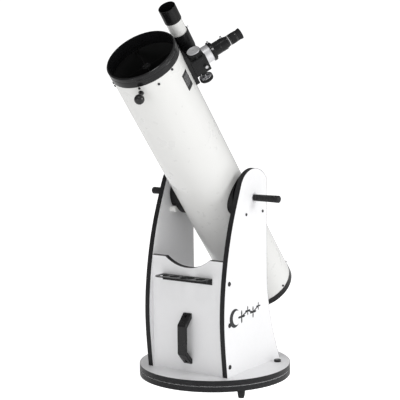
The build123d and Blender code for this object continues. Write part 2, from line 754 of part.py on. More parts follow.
with BuildPart() as mirror_clips:
    with Locations(station(carrier_top)):
        with PolarLocations(MIRROR_RADIUS + SEAT, 3, start_angle=clip_angles[0]):
            Box(
                CLIP_THICKNESS,
                CLIP_WIDTH,
                MIRROR_THICKNESS + 2 * SEAT + CLIP_THICKNESS,
                align=(Align.MIN, Align.CENTER, Align.MIN),
            )
    with Locations(station(mirror_top + SEAT)):
        with PolarLocations(MIRROR_RADIUS + SEAT, 3, start_angle=clip_angles[0]):
            Box(CLIP_REACH, CLIP_WIDTH, CLIP_THICKNESS, align=(Align.MAX, Align.CENTER, Align.MIN))
save(mirror_clips, "mirror_clips")


def collimation_plane(angle, distance):
    """The plane across the tube with its origin on one collimation screw."""
    along = outward(angle) * COLLIMATION_CIRCLE
    return Plane(origin=station(distance).origin + along, x_dir=outward(angle), z_dir=tube_direction)


spring_turns = 5
with BuildPart() as collimation_springs:
    for angle in COLLIMATION_ANGLES:
        base = collimation_plane(angle, frame_top + SEAT)
        for turn in range(spring_turns):
            rise = SPRING_WIRE + turn * (CELL_GAP - 2 * SEAT - 2 * SPRING_WIRE) / (spring_turns - 1)
            with Locations(base.offset(rise)):
                Torus(SPRING_RADIUS, SPRING_WIRE)
        with Locations(base):
            Cylinder(SPRING_RADIUS + SPRING_WIRE / 2, CELL_GAP - 2 * SEAT, align=UPRIGHT)
            Cylinder(SPRING_RADIUS - SPRING_WIRE / 2, CELL_GAP, align=UPRIGHT, mode=Mode.SUBTRACT)
save(collimation_springs, "collimation_springs")

for knob_letter, angle in zip("abc", COLLIMATION_ANGLES):
    with BuildPart() as collimation_knob:
        base = collimation_plane(angle, rear_end + 2 - GAP)
        with BuildSketch(base):
            Circle(KNOB_RADIUS)
            with PolarLocations(KNOB_RADIUS + 1.2, 12):
                Circle(2.0, mode=Mode.SUBTRACT)
        extrude(amount=-KNOB_HEIGHT)
        with BuildSketch(base):
            Circle(STUD_RADIUS)
        extrude(amount=FRAME_THICKNESS + CELL_GAP + CARRIER_THICKNESS - 2)
    save(collimation_knob, f"collimation_knob_{knob_letter}")

spider_front = SPIDER_STATION + SPIDER_DEPTH
adjust_circle = SPIDER_HUB_RADIUS * 0.62

with BuildPart() as collimation_screws:
    with Locations(station(rear_end + 2)):
        with PolarLocations(COLLIMATION_CIRCLE, 3, start_angle=COLLIMATION_ANGLES[0]):
            with Locations((0, LOCK_OFFSET * 0.75)):
                Cylinder(TUBE_SCREW_RADIUS, FRAME_THICKNESS + CELL_GAP, align=UPRIGHT)
                Cylinder(TUBE_SCREW_HEAD, TUBE_SCREW_HEAD_HEIGHT, align=TOP_DOWN)
    with Locations(station(spider_front)):
        with PolarLocations(adjust_circle, 3, start_angle=VANE_ANGLE + 45):
            Cylinder(TUBE_SCREW_RADIUS, SPIDER_DEPTH, align=TOP_DOWN)
            Cylinder(TUBE_SCREW_HEAD * 0.8, TUBE_SCREW_HEAD_HEIGHT, align=UPRIGHT)
save(collimation_screws, "collimation_screws")

# ---------------------------------------------------------------- spider and secondary mirror
with BuildPart() as spider:
    with BuildSketch(station(SPIDER_STATION)):
        Circle(SPIDER_HUB_RADIUS)
        for angle in vane_angles():
            middle = (tube_bore - SEAT) / 2
            with Locations((middle * cos(radians(angle)), middle * sin(radians(angle)))):
                Rectangle(tube_bore - SEAT - 1, VANE_THICKNESS, rotation=angle)
    extrude(amount=SPIDER_DEPTH)
    with Locations(*[radial(vane_screw_station, angle, tube_bore) for angle in vane_angles()]):
        Box(SPIDER_DEPTH * 0.5, VANE_FOOT, 4.5, align=TOP_DOWN)
    with Locations(station(spider_front)):
        with PolarLocations(adjust_circle, 3, start_angle=VANE_ANGLE + 45):
            Cylinder(TUBE_SCREW_RADIUS + SEAT, 2 * SPIDER_DEPTH + 2, mode=Mode.SUBTRACT)
    with BuildSketch(station(SPIDER_STATION - 10)):
        Circle(tube_bore * 2)
        Circle(tube_bore - SEAT, mode=Mode.SUBTRACT)
    extrude(amount=SPIDER_DEPTH + 20, mode=Mode.SUBTRACT)
    drill_tube_screws()
save(spider, "spider")

secondary_normal = (outward(FOCUSER_ANGLE) - tube_direction).normalized()
mirror_face = Plane(
    origin=station(FOCUSER_STATION).origin,
    x_dir=tube_up.cross(secondary_normal),
    z_dir=secondary_normal,
)
mirror_back = mirror_face.offset(-SECONDARY_THICKNESS)

with BuildPart() as secondary_mirror:
    with Locations(station(FOCUSER_STATION)):
        Cylinder(SECONDARY_RADIUS, 6 * SECONDARY_RADIUS)
    split(bisect_by=mirror_face, keep=Keep.BOTTOM)
    split(bisect_by=mirror_back, keep=Keep.TOP)
save(secondary_mirror, "secondary_mirror")

with BuildPart() as secondary_holder:
    with BuildSketch(station(FOCUSER_STATION - 3 * SECONDARY_RADIUS)):
        Circle(HOLDER_RADIUS)
    extrude(amount=HOLDER_FRONT - FOCUSER_STATION + 3 * SECONDARY_RADIUS)
    split(bisect_by=mirror_back.offset(-SEAT), keep=Keep.BOTTOM)
    with BuildSketch(station(HOLDER_FRONT)):
        Circle(HOLDER_STEM_RADIUS)
    extrude(amount=SPIDER_STATION - SEAT - HOLDER_FRONT)
    with Locations(station(spider_front)):
        with PolarLocations(adjust_circle, 3, start_angle=VANE_ANGLE + 45):
            Cylinder(TUBE_SCREW_RADIUS + SEAT, SPIDER_DEPTH + SEAT, align=TOP_DOWN, mode=Mode.SUBTRACT)
save(secondary_holder, "secondary_holder")

# ---------------------------------------------------------------- altitude hubs and tension handles
hub_outer = INNER_HALF_WIDTH - HUB_SIDE_GAP
skirt_outer = TUBE_RADIUS + HUB_SKIRT_OUT
rod_inner = skirt_outer + 1.0
washer_inner = outer_half_width + SEAT
grip_inner = washer_inner + TENSION_WASHER_THICKNESS + SEAT
for name_prefix, sign in (("left", -1), ("right", 1)):
    with BuildPart() as hub:
        with BuildSketch(Plane.YZ.offset(sign * TUBE_RADIUS * 0.6)):
            with Locations((pivot.Y, pivot.Z)):
                Circle(HUB_SKIRT_RADIUS)
        extrude(amount=sign * (skirt_outer - TUBE_RADIUS * 0.6))
        with BuildSketch(Plane.YZ.offset(sign * skirt_outer)):
            with Locations((pivot.Y, pivot.Z)):
                Circle(HUB_RADIUS)
        extrude(amount=sign * (hub_outer - skirt_outer))
        with BuildSketch(Plane.YZ.offset(sign * hub_outer)):
            with Locations((pivot.Y, pivot.Z)):
                Circle(HUB_RADIUS - 6)
                Circle(HUB_RADIUS / 3, mode=Mode.SUBTRACT)
        extrude(amount=-sign * (hub_outer - skirt_outer - 4), mode=Mode.SUBTRACT)
        with BuildSketch(Plane.YZ.offset(sign * rod_inner)):
            with Locations((pivot.Y, pivot.Z)):
                Circle(ROD_RADIUS + RUNNING)
        extrude(amount=sign * TUBE_RADIUS, mode=Mode.SUBTRACT)
        with Locations(station(0)):
            Cylinder(TUBE_RADIUS + SEAT, 4 * HUB_SKIRT_RADIUS, mode=Mode.SUBTRACT)
    save(hub, f"{name_prefix}_hub")

    with BuildPart() as tension_handle:
        rod_plane = Plane(origin=(sign * rod_inner, pivot.Y, pivot.Z), x_dir=(0, sign, 0), z_dir=(sign, 0, 0))
        grip_plane = rod_plane.offset(grip_inner - rod_inner)
        with Locations(rod_plane.offset(GAP)):
            Cylinder(ROD_RADIUS, grip_inner - rod_inner, align=UPRIGHT)
        with Locations(grip_plane):
            Cone(TENSION_ROOT_RADIUS, TENSION_TIP_RADIUS, TENSION_LENGTH, align=UPRIGHT)
        fillet(tension_handle.edges().sort_by(Axis.X)[-1 if sign > 0 else 0], TENSION_TIP_RADIUS * 0.45)
        for index in range(TENSION_GROOVES):
            rise = TENSION_LENGTH * (0.14 + 0.72 * index / (TENSION_GROOVES - 1))
            radius = TENSION_ROOT_RADIUS + (TENSION_TIP_RADIUS - TENSION_ROOT_RADIUS) * rise / TENSION_LENGTH
            with Locations(grip_plane.offset(rise)):
                Torus(radius + 0.5, 1.2, mode=Mode.SUBTRACT)
    save(tension_handle, f"{name_prefix}_tension_handle")

with BuildPart() as tension_washers:
    for sign in (-1, 1):
        with BuildSketch(Plane.YZ.offset(sign * washer_inner)):
            with Locations((pivot.Y, pivot.Z)):
                Circle(TENSION_WASHER_RADIUS)
                Circle(ROD_RADIUS + GAP, mode=Mode.SUBTRACT)
        extrude(amount=sign * TENSION_WASHER_THICKNESS)
save(tension_washers, "tension_washers")

# ---------------------------------------------------------------- ball knob and label
with BuildPart() as ball_knob:
    ball_plane = radial(BALL_STATION, BALL_ANGLE, TUBE_RADIUS - 3)
    with Locations(ball_plane):
        Cone(BALL_POST_ROOT, BALL_POST_NECK, BALL_STANDOFF - 8, align=UPRIGHT)
    with Locations(radial(BALL_STATION, BALL_ANGLE, TUBE_RADIUS + BALL_STANDOFF)):
        Sphere(BALL_RADIUS)
    with Locations(station(BALL_STATION)):
        Cylinder(TUBE_RADIUS + SEAT / 2, 4 * BALL_RADIUS, mode=Mode.SUBTRACT)
save(ball_knob, "ball_knob")

with BuildPart() as label_plate:
    with BuildSketch(station(LABEL_STATION - LABEL_LENGTH / 2)):
        Circle(TUBE_RADIUS + SEAT / 2 + LABEL_THICKNESS)
        Circle(TUBE_RADIUS + SEAT / 2, mode=Mode.SUBTRACT)
        start = LABEL_ANGLE - LABEL_ARC / 2
        stop = LABEL_ANGLE + LABEL_ARC / 2
        reach = TUBE_RADIUS * 1.5
        with BuildLine():
            Polyline(
                (0, 0),
                (reach * cos(radians(start)), reach * sin(radians(start))),
                (reach * cos(radians(stop)), reach * sin(radians(stop))),
                close=True,
            )
        make_face(mode=Mode.INTERSECT)
    extrude(amount=LABEL_LENGTH)
save(label_plate, "label_plate")

# ---------------------------------------------------------------- focuser
# In the focuser's frame z is the distance from the tube's axis, x runs along the tube and
# y points to the side that the focus shaft is on.
focuser = radial(FOCUSER_STATION, FOCUSER_ANGLE)
base_top = TUBE_RADIUS + BASE_TOP
body_top = base_top + BODY_HEIGHT
shaft_y = DRAWTUBE_RADIUS + SHAFT_RADIUS + 0.2
shaft_z = TUBE_RADIUS + SHAFT_RISE
bore_radius = DRAWTUBE_RADIUS + GAP
roller_y = -(DRAWTUBE_RADIUS + ROLLER_RADIUS + 0.2)
body_middle = (base_top + body_top) / 2


def across_focuser(x, y, z):
    """The plane at a point of the focuser's frame, facing along the tube towards the mouth."""
    point = focuser.from_local_coords(Vector(x, y, z))
    return Plane(origin=point, x_dir=focuser.y_dir, z_dir=focuser.x_dir)


def out_of_focuser(x, y, z, angle):
    """The plane at a point of the focuser's frame, facing out across the drawtube at an angle from x."""
    point = focuser.from_local_coords(Vector(x, y, z))
    facing = focuser.x_dir * cos(radians(angle)) + focuser.y_dir * sin(radians(angle))
    return Plane(origin=point, x_dir=focuser.z_dir, z_dir=facing)


with BuildPart() as focuser_base:
    with BuildSketch(focuser.offset(TUBE_RADIUS * 0.8)):
        with Locations((0, (BASE_FRONT - BASE_BACK) / 2)):
            RectangleRounded(BASE_LENGTH, BASE_FRONT + BASE_BACK, BASE_CORNER)
        Circle(bore_radius + GAP, mode=Mode.SUBTRACT)
    extrude(amount=base_top - SEAT - TUBE_RADIUS * 0.8)
    with Locations(station(FOCUSER_STATION)):
        Cylinder(TUBE_RADIUS + SEAT, 2 * BASE_LENGTH, mode=Mode.SUBTRACT)
save(focuser_base, "focuser_base")

roller_centres = [
    (sign * ROLLER_SPREAD, body_middle + level * ROLLER_SPACING) for sign in (-1, 1) for level in (-1, 1)
]
with BuildPart() as focuser_body:
    with BuildSketch(focuser.offset(base_top)):
        with Locations((0, (BODY_FRONT - BODY_BACK) / 2)):
            RectangleRounded(BODY_LENGTH, BODY_FRONT + BODY_BACK, BODY_CORNER)
    extrude(amount=BODY_HEIGHT)
    crown = focuser_body.faces().sort_by(Axis(focuser.origin, focuser.z_dir))[-1]
    fillet(crown.edges(), 2.5)
    with BuildSketch(focuser.offset(base_top)):
        Circle(bore_radius)
    extrude(amount=BODY_HEIGHT, mode=Mode.SUBTRACT)
    with Locations(across_focuser(0, shaft_y, shaft_z)):
        Cylinder(BUSH_RADIUS, BODY_LENGTH + 2 * BUSH_LENGTH)
        Cylinder(SHAFT_RADIUS + RUNNING, 2 * BODY_LENGTH, mode=Mode.SUBTRACT)
    with BuildSketch(focuser.offset(base_top)):
        Circle(bore_radius)
    extrude(amount=BODY_HEIGHT, mode=Mode.SUBTRACT)
    for x, z in roller_centres:
        with Locations(across_focuser(x, roller_y, z)):
            Cylinder(ROLLER_RADIUS + 1, ROLLER_WIDTH + 2, mode=Mode.SUBTRACT)
    with Locations(out_of_focuser(TENSION_SCREW_X, BODY_FRONT, TUBE_RADIUS + TENSION_SCREW_RISE, 90)):
        Cylinder(THUMB_SHANK_RADIUS + RUNNING, BODY_FRONT - shaft_y, align=TOP_DOWN, mode=Mode.SUBTRACT)
save(focuser_body, "focuser_body")

with BuildPart() as focuser_rollers:
    for x, z in roller_centres:
        with Locations(across_focuser(x, roller_y, z)):
            Cylinder(ROLLER_RADIUS, ROLLER_WIDTH)
save(focuser_rollers, "focuser_rollers")

knob_reach = KNOB_INNER + FOCUS_KNOB_WIDTH
with BuildPart() as focus_shaft:
    with Locations(across_focuser(0, shaft_y, shaft_z)):
        Cylinder(SHAFT_RADIUS, 2 * knob_reach - 6)
save(focus_shaft, "focus_shaft")


def build_focus_knob(sign):
    """A focus knob: a rubber-gripped rim round a dished metal disc, open towards the body."""
    facing = focuser.x_dir * sign
    knob_centre = across_focuser(sign * KNOB_INNER, shaft_y, shaft_z).origin
    inner = Plane(origin=knob_centre, x_dir=focuser.y_dir, z_dir=facing)
    with BuildPart() as knob:
        with Locations(inner):
            Cylinder(FOCUS_KNOB_RADIUS, FOCUS_KNOB_WIDTH, align=UPRIGHT)
            Cylinder(FOCUS_KNOB_RADIUS - 4, FOCUS_KNOB_WIDTH * 0.5, align=UPRIGHT, mode=Mode.SUBTRACT)
        fillet(knob.edges().group_by(Axis(inner.origin, facing))[-1], 1.5)
        with BuildSketch(inner):
            Circle(BUSH_RADIUS)
            with PolarLocations(FOCUS_KNOB_RADIUS / 2, 6):
                Rectangle(FOCUS_KNOB_RADIUS - 6, 2.0)
        extrude(amount=FOCUS_KNOB_WIDTH * 0.5)
        with Locations(inner):
            Cylinder(SHAFT_RADIUS + SEAT / 2, FOCUS_KNOB_WIDTH - 3 + SEAT, align=UPRIGHT, mode=Mode.SUBTRACT)
    return knob


save(build_focus_knob(1), "focus_knob_front")
save(build_focus_knob(-1), "focus_knob_rear")

with BuildPart() as focus_tension_screw:
    with Locations(out_of_focuser(TENSION_SCREW_X, BODY_FRONT, TUBE_RADIUS + TENSION_SCREW_RISE, 90)):
        Cylinder(THUMB_SHANK_RADIUS, BODY_FRONT - shaft_y - 1, align=TOP_DOWN)
    with Locations(out_of_focuser(TENSION_SCREW_X, BODY_FRONT + GAP, TUBE_RADIUS + TENSION_SCREW_RISE, 90)):
        Cylinder(TENSION_SCREW_HEAD, TENSION_SCREW_HEIGHT, align=UPRIGHT)
        Cylinder(THUMB_SHANK_RADIUS, GAP, align=TOP_DOWN)
    fillet(focus_tension_screw.edges().sort_by(Axis(focuser.origin, focuser.y_dir))[-1], 1.0)
save(focus_tension_screw, "focus_tension_screw")

# ---------------------------------------------------------------- drawtube, collar, adapter, eyepiece
collar_top = COLLAR_BASE + COLLAR_HEIGHT
collar_screw_level = COLLAR_BASE + COLLAR_HEIGHT / 2
with BuildPart() as drawtube:
    with BuildSketch(focuser.offset(DRAWTUBE_INNER_END)):
        Circle(DRAWTUBE_RADIUS)
        Circle(DRAWTUBE_RADIUS - DRAWTUBE_WALL, mode=Mode.SUBTRACT)
    extrude(amount=COLLAR_BASE - SEAT - DRAWTUBE_INNER_END)
save(drawtube, "drawtube")


def collar_screw_planes(radius):
    return [out_of_focuser(radius * cos(radians(a)), radius * sin(radians(a)), collar_screw_level, a)
            for a in COLLAR_SCREW_ANGLES]


with BuildPart() as drawtube_collar:
    with BuildSketch(focuser.offset(COLLAR_BASE)):
        Circle(COLLAR_RADIUS)
    extrude(amount=COLLAR_HEIGHT)
    fillet(drawtube_collar.edges(), 2.5)
    with BuildSketch(focuser.offset(COLLAR_BASE)):
        Circle(TWO_INCH_RADIUS + 2 * RUNNING)
    extrude(amount=COLLAR_HEIGHT, mode=Mode.SUBTRACT)
    with Locations(*collar_screw_planes(COLLAR_RADIUS)):
        Cylinder(THUMB_SHANK_RADIUS + SEAT, 4 * (COLLAR_RADIUS - TWO_INCH_RADIUS), mode=Mode.SUBTRACT)
save(drawtube_collar, "drawtube_collar")

with BuildPart() as collar_screws:
    with Locations(*collar_screw_planes(COLLAR_RADIUS + 1)):
        Cylinder(THUMB_SHANK_RADIUS, COLLAR_RADIUS - TWO_INCH_RADIUS, align=TOP_DOWN)
        Cylinder(THUMB_HEAD_RADIUS, THUMB_HEAD_HEIGHT, align=UPRIGHT)
save(collar_screws, "collar_screws")

adapter_seat = collar_top + SEAT
adapter_top = adapter_seat + ADAPTER_HEIGHT
nose_top = adapter_top + ADAPTER_NOSE
adapter_screw_level = adapter_top - 6.0
with BuildPart() as eyepiece_adapter:
    with BuildSketch(focuser.offset(adapter_seat - SPIGOT_DEPTH)):
        Circle(TWO_INCH_RADIUS)
    extrude(amount=SPIGOT_DEPTH)
    with BuildSketch(focuser.offset(adapter_seat)):
        Circle(ADAPTER_FLANGE_RADIUS)
    extrude(amount=ADAPTER_FLANGE)
    with BuildSketch(focuser.offset(adapter_seat)):
        Circle(ADAPTER_RADIUS)
    extrude(amount=ADAPTER_HEIGHT)
    with BuildSketch(focuser.offset(adapter_seat)):
        Circle(ADAPTER_NOSE_RADIUS)
    extrude(amount=ADAPTER_HEIGHT + ADAPTER_NOSE)
    with BuildSketch(focuser.offset(adapter_seat - SPIGOT_DEPTH)):
        Circle(EYEPIECE_BARREL_RADIUS + RUNNING)
    extrude(amount=nose_top - adapter_seat + SPIGOT_DEPTH, mode=Mode.SUBTRACT)
    with Locations(out_of_focuser(ADAPTER_RADIUS, 0, adapter_screw_level, 0)):
        Cylinder(THUMB_SHANK_RADIUS + RUNNING, 2 * (ADAPTER_RADIUS - EYEPIECE_BARREL_RADIUS), mode=Mode.SUBTRACT)
save(eyepiece_adapter, "eyepiece_adapter")

with BuildPart() as adapter_screw:
    with Locations(out_of_focuser(ADAPTER_RADIUS + 2, 0, adapter_screw_level, 0)):
        Cylinder(THUMB_SHANK_RADIUS, ADAPTER_RADIUS + 2 - EYEPIECE_BARREL_RADIUS - GAP, align=TOP_DOWN)
        Cylinder(THUMB_HEAD_RADIUS, THUMB_HEAD_HEIGHT, align=UPRIGHT)
save(adapter_screw, "adapter_screw")

eyepiece_seat = nose_top + GAP
eyepiece_top = eyepiece_seat + EYEPIECE_HEIGHT
with BuildPart() as eyepiece_barrel:
    with BuildSketch(focuser.offset(eyepiece_seat - EYEPIECE_BARREL_LENGTH)):
        Circle(EYEPIECE_BARREL_RADIUS)
        Circle(EYEPIECE_BARREL_RADIUS - EYEPIECE_BARREL_WALL, mode=Mode.SUBTRACT)
    extrude(amount=EYEPIECE_BARREL_LENGTH - SEAT)
save(eyepiece_barrel, "eyepiece_barrel")

with BuildPart() as eyepiece_body:
    with BuildSketch(focuser.offset(eyepiece_seat)):
        Circle(EYEPIECE_RADIUS)
    extrude(amount=EYEPIECE_HEIGHT)
    with Locations(focuser.offset(eyepiece_seat + 9), focuser.offset(eyepiece_seat + 12)):
        Torus(EYEPIECE_RADIUS + 0.2, 0.8, mode=Mode.SUBTRACT)
save(eyepiece_body, "eyepiece_body")

with BuildPart() as eyecup:
    with BuildSketch(focuser.offset(eyepiece_top + SEAT)):
        Circle(EYECUP_RADIUS)
    extrude(amount=EYECUP_HEIGHT)
    with BuildSketch(focuser.offset(eyepiece_top + SEAT + EYECUP_HEIGHT * 0.4)):
        Circle(EYECUP_RADIUS - EYECUP_WALL)
    extrude(amount=EYECUP_HEIGHT, mode=Mode.SUBTRACT)
save(eyecup, "eyecup")

# ---------------------------------------------------------------- finder
finder_axis_radius = TUBE_RADIUS + FINDER_AXIS
shoe_station = (BRACKET_REAR + BRACKET_FRONT) / 2
shoe_floor = TUBE_RADIUS + SHOE_FLOOR
shoe_top = TUBE_RADIUS + SHOE_TOP
dovetail_slope = DOVETAIL_HEIGHT * 0.6
shoe_frame = radial(shoe_station, FINDER_ANGLE)


def dovetail_outline(clearance):
    """The edges of the dovetail's section, wide at its floor and narrow at its top."""
    half = DOVETAIL_WIDTH / 2 + clearance
    floor = shoe_floor + SEAT - clearance
    top = floor + DOVETAIL_HEIGHT + 2 * clearance
    with BuildLine() as outline:
        Polyline(
            (-half, floor),
            (half, floor),
            (half - dovetail_slope, top),
            (-half + dovetail_slope, top),
            close=True,
        )
    return outline.edges()


dovetail_middle = radial(shoe_station, FINDER_ANGLE, shoe_floor + DOVETAIL_HEIGHT / 2).origin
shoe_screw_plane = Plane(origin=dovetail_middle, x_dir=tube_direction, z_dir=-shoe_frame.y_dir)
shoe_end = shoe_frame.origin - tube_direction * SHOE_LENGTH / 2
shoe_section = Plane(origin=shoe_end, x_dir=shoe_frame.y_dir, z_dir=tube_direction)
with BuildPart() as finder_shoe:
    with BuildSketch(radial(shoe_station, FINDER_ANGLE, TUBE_RADIUS * 0.9)):
        RectangleRounded(SHOE_LENGTH, SHOE_WIDTH, 3)
    extrude(amount=shoe_top - TUBE_RADIUS * 0.9)
    with Locations(station(shoe_station)):
        Cylinder(TUBE_RADIUS + SEAT, 2 * SHOE_LENGTH, mode=Mode.SUBTRACT)
    with BuildSketch(shoe_section.offset(-SHOE_LENGTH)):
        make_face(dovetail_outline(GAP))
        with Locations((0, shoe_floor + DOVETAIL_HEIGHT / 2)):
            Rectangle(DOVETAIL_WIDTH - 2 * dovetail_slope + 2 * GAP, SHOE_TOP, align=(Align.CENTER, Align.MIN))
    extrude(amount=3 * SHOE_LENGTH, mode=Mode.SUBTRACT)
    with Locations(shoe_screw_plane):
        Cylinder(THUMB_SHANK_RADIUS + RUNNING, SHOE_WIDTH, align=UPRIGHT, mode=Mode.SUBTRACT)
save(finder_shoe, "finder_shoe")

shoe_screw_start = DOVETAIL_WIDTH / 2 + GAP
with BuildPart() as shoe_screw:
    with Locations(shoe_screw_plane.offset(shoe_screw_start)):
        Cylinder(THUMB_SHANK_RADIUS, SHOE_WIDTH / 2 + 1 - shoe_screw_start, align=UPRIGHT)
    with Locations(shoe_screw_plane.offset(SHOE_WIDTH / 2 + 1)):
        Cylinder(ADJUST_HEAD_RADIUS, ADJUST_HEAD_HEIGHT, align=UPRIGHT)
save(shoe_screw, "shoe_screw")


def adjust_planes(radius):
    """Planes facing out from the finder's axis at each adjusting screw."""
    base = finder_station(ADJUST_STATION)
    planes = []
    for angle in ADJUST_ANGLES:
        facing = base.x_dir * cos(radians(angle)) + base.y_dir * sin(radians(angle))
        planes.append(Plane(origin=base.origin + facing * radius, x_dir=tube_direction, z_dir=facing))
    return planes


with BuildPart() as finder_bracket:
    with BuildSketch(shoe_section.offset((SHOE_LENGTH - (BRACKET_FRONT - BRACKET_REAR)) / 2)):
        make_face(dovetail_outline(0))
        stem_top = finder_axis_radius - BRACKET_RADIUS + BRACKET_WALL / 2
        with Locations((0, shoe_floor + DOVETAIL_HEIGHT / 2)):
            Rectangle(
                STEM_WIDTH,
                stem_top - shoe_floor - DOVETAIL_HEIGHT / 2,
                align=(Align.CENTER, Align.MIN),
            )
    extrude(amount=BRACKET_FRONT - BRACKET_REAR)
    with BuildSketch(finder_station(BRACKET_REAR)):
        Circle(BRACKET_RADIUS)
    extrude(amount=BRACKET_FRONT - BRACKET_REAR)
    with BuildSketch(finder_station(BRACKET_REAR)):
        Circle(BRACKET_RADIUS - BRACKET_WALL)
    extrude(amount=BRACKET_FRONT - BRACKET_REAR, mode=Mode.SUBTRACT)
    with Locations(*adjust_planes(BRACKET_RADIUS)):
        Cylinder(THUMB_SHANK_RADIUS + SEAT, 4 * BRACKET_WALL, mode=Mode.SUBTRACT)
save(finder_bracket, "finder_bracket")

with BuildPart() as finder_adjust_screws:
    with Locations(*adjust_planes(FINDER_RADIUS + SEAT)):
        Cylinder(THUMB_SHANK_RADIUS, BRACKET_RADIUS + 2 - FINDER_RADIUS - SEAT, align=UPRIGHT)
    with Locations(*adjust_planes(BRACKET_RADIUS + 2)):
        Cylinder(ADJUST_HEAD_RADIUS, ADJUST_HEAD_HEIGHT, align=UPRIGHT)
save(finder_adjust_screws, "finder_adjust_screws")

with BuildPart() as finder_tube:
    with BuildSketch(finder_station(FINDER_REAR)):
        Circle(FINDER_RADIUS)
    extrude(amount=FINDER_FRONT - FINDER_REAR)
    with BuildSketch(finder_station(FINDER_REAR)):
        Circle(FINDER_RADIUS)
    with BuildSketch(finder_station(FINDER_REAR - 16)):
        Circle(FINDER_TAIL_RADIUS)
    loft()
    with BuildSketch(finder_station(FINDER_TAIL_REAR)):
        Circle(FINDER_TAIL_RADIUS)
    extrude(amount=FINDER_REAR - 16 - FINDER_TAIL_REAR)
    with BuildSketch(finder_station(FINDER_REAR)):
        Circle(FINDER_RADIUS - FINDER_WALL)
    extrude(amount=FINDER_FRONT - FINDER_REAR, mode=Mode.SUBTRACT)
    with BuildSketch(finder_station(FINDER_TAIL_REAR)):
        Circle(FINDER_TAIL_RADIUS - FINDER_WALL)
    extrude(amount=FINDER_REAR - FINDER_TAIL_REAR, mode=Mode.SUBTRACT)
save(finder_tube, "finder_tube")

with BuildPart() as dew_shield:
    with BuildSketch(finder_station(DEW_REAR)):
        Circle(DEW_RADIUS)
        Circle(FINDER_RADIUS + RUNNING, mode=Mode.SUBTRACT)
    extrude(amount=DEW_FRONT - DEW_REAR)
    with BuildSketch(finder_station(FINDER_FRONT + 6)):
        Circle(FINDER_RADIUS + RUNNING)
    extrude(amount=6)
save(dew_shield, "dew_shield")

with BuildPart() as finder_eyepiece:
    with BuildSketch(finder_station(FINDER_EYE_REAR)):
        Circle(FINDER_EYE_RADIUS)
    extrude(amount=FINDER_TAIL_REAR - SEAT - FINDER_EYE_REAR)
    with BuildSketch(finder_station(FINDER_EYE_REAR)):
        Circle(FINDER_EYE_RADIUS - 5)
    extrude(amount=4, mode=Mode.SUBTRACT)
    with BuildSketch(finder_station(FINDER_TAIL_REAR - SEAT)):
        Circle(FINDER_TAIL_RADIUS - FINDER_WALL - SEAT)
    extrude(amount=10)
save(finder_eyepiece, "finder_eyepiece")
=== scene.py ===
"""The looks of a Newtonian telescope on a rocker-box mount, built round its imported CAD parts."""

import json
import math

import bmesh
import bpy
import numpy as np
from mathutils import Matrix, Vector


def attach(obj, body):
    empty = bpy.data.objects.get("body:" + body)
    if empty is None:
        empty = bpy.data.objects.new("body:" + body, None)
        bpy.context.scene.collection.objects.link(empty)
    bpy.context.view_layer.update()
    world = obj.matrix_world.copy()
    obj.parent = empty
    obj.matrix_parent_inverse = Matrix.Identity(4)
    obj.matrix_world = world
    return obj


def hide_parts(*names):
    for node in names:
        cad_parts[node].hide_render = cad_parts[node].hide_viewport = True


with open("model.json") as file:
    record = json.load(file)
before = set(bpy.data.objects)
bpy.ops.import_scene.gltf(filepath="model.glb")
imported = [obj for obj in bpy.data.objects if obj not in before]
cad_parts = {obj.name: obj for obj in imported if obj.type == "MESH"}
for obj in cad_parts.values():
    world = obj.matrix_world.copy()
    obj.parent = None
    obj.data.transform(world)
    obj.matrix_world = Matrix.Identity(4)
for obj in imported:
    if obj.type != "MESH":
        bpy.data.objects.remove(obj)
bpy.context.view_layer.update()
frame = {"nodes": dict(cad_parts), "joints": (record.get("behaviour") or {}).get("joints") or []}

bl_info = {
    "name": "Rocker-box telescope looks",
    "version": (1, 0, 0),
    "blender": (4, 5, 0),
    "location": "View3D > Sidebar > Telescope",
    "description": "Finishes, optics, knobs and a studio for a telescope on a rocker-box mount",
    "category": "Object",
}

# ---------------------------------------------------------------- where things are
JOINTS = {joint["name"]: joint for joint in frame["joints"]}


def joint_point(name):
    return Vector(JOINTS[name]["pos_m"])


def joint_axis(name):
    return Vector(JOINTS[name]["axis"]).normalized()


def placed_on(origin, out, along):
    """The frame at a point with its z pointing out and its x near the direction along."""
    z = out.normalized()
    x = (along - z * along.dot(z)).normalized()
    rows = [(*row, at) for row, at in zip(zip(x, z.cross(x), z), origin)]
    return Matrix((*rows, (0, 0, 0, 1)))


ACROSS = Vector((1, 0, 0))
UP = Vector((0, 0, 1))
TUBE_AXIS = joint_axis("finder_slide")
PIVOT = joint_point("altitude")
FOCUSER_AXIS = joint_axis("focus_travel")
FOCUSER_STATION = (joint_point("focus_travel") - PIVOT).dot(TUBE_AXIS)
FINDER_STATION = (joint_point("finder_focus") - PIVOT).dot(TUBE_AXIS)

TUBE = placed_on(PIVOT, TUBE_AXIS, ACROSS)
FOCUSER = placed_on(PIVOT + TUBE_AXIS * FOCUSER_STATION, FOCUSER_AXIS, TUBE_AXIS)
FINDER = placed_on(joint_point("finder_focus") - TUBE_AXIS * FINDER_STATION, TUBE_AXIS, ACROSS)
SHAFT = placed_on(joint_point("focus_turn"), TUBE_AXIS, FOCUSER_AXIS)
RIGHT_ALTITUDE = placed_on(PIVOT, ACROSS, UP)
LEFT_ALTITUDE = placed_on(PIVOT, -ACROSS, UP)


def mm(*values):
    """Millimetres to metres, as one number or as a tuple."""
    scaled = tuple(value * 0.001 for value in values)
    return scaled[0] if len(scaled) == 1 else scaled


# ---------------------------------------------------------------- what a user may change
def length(name, description, default):
    return bpy.props.FloatProperty(
        name=name, description=description, default=mm(default), subtype="DISTANCE", unit="LENGTH", precision=4
    )


def number(name, description, default, subtype="NONE"):
    return bpy.props.FloatProperty(name=name, description=description, default=default, subtype=subtype)


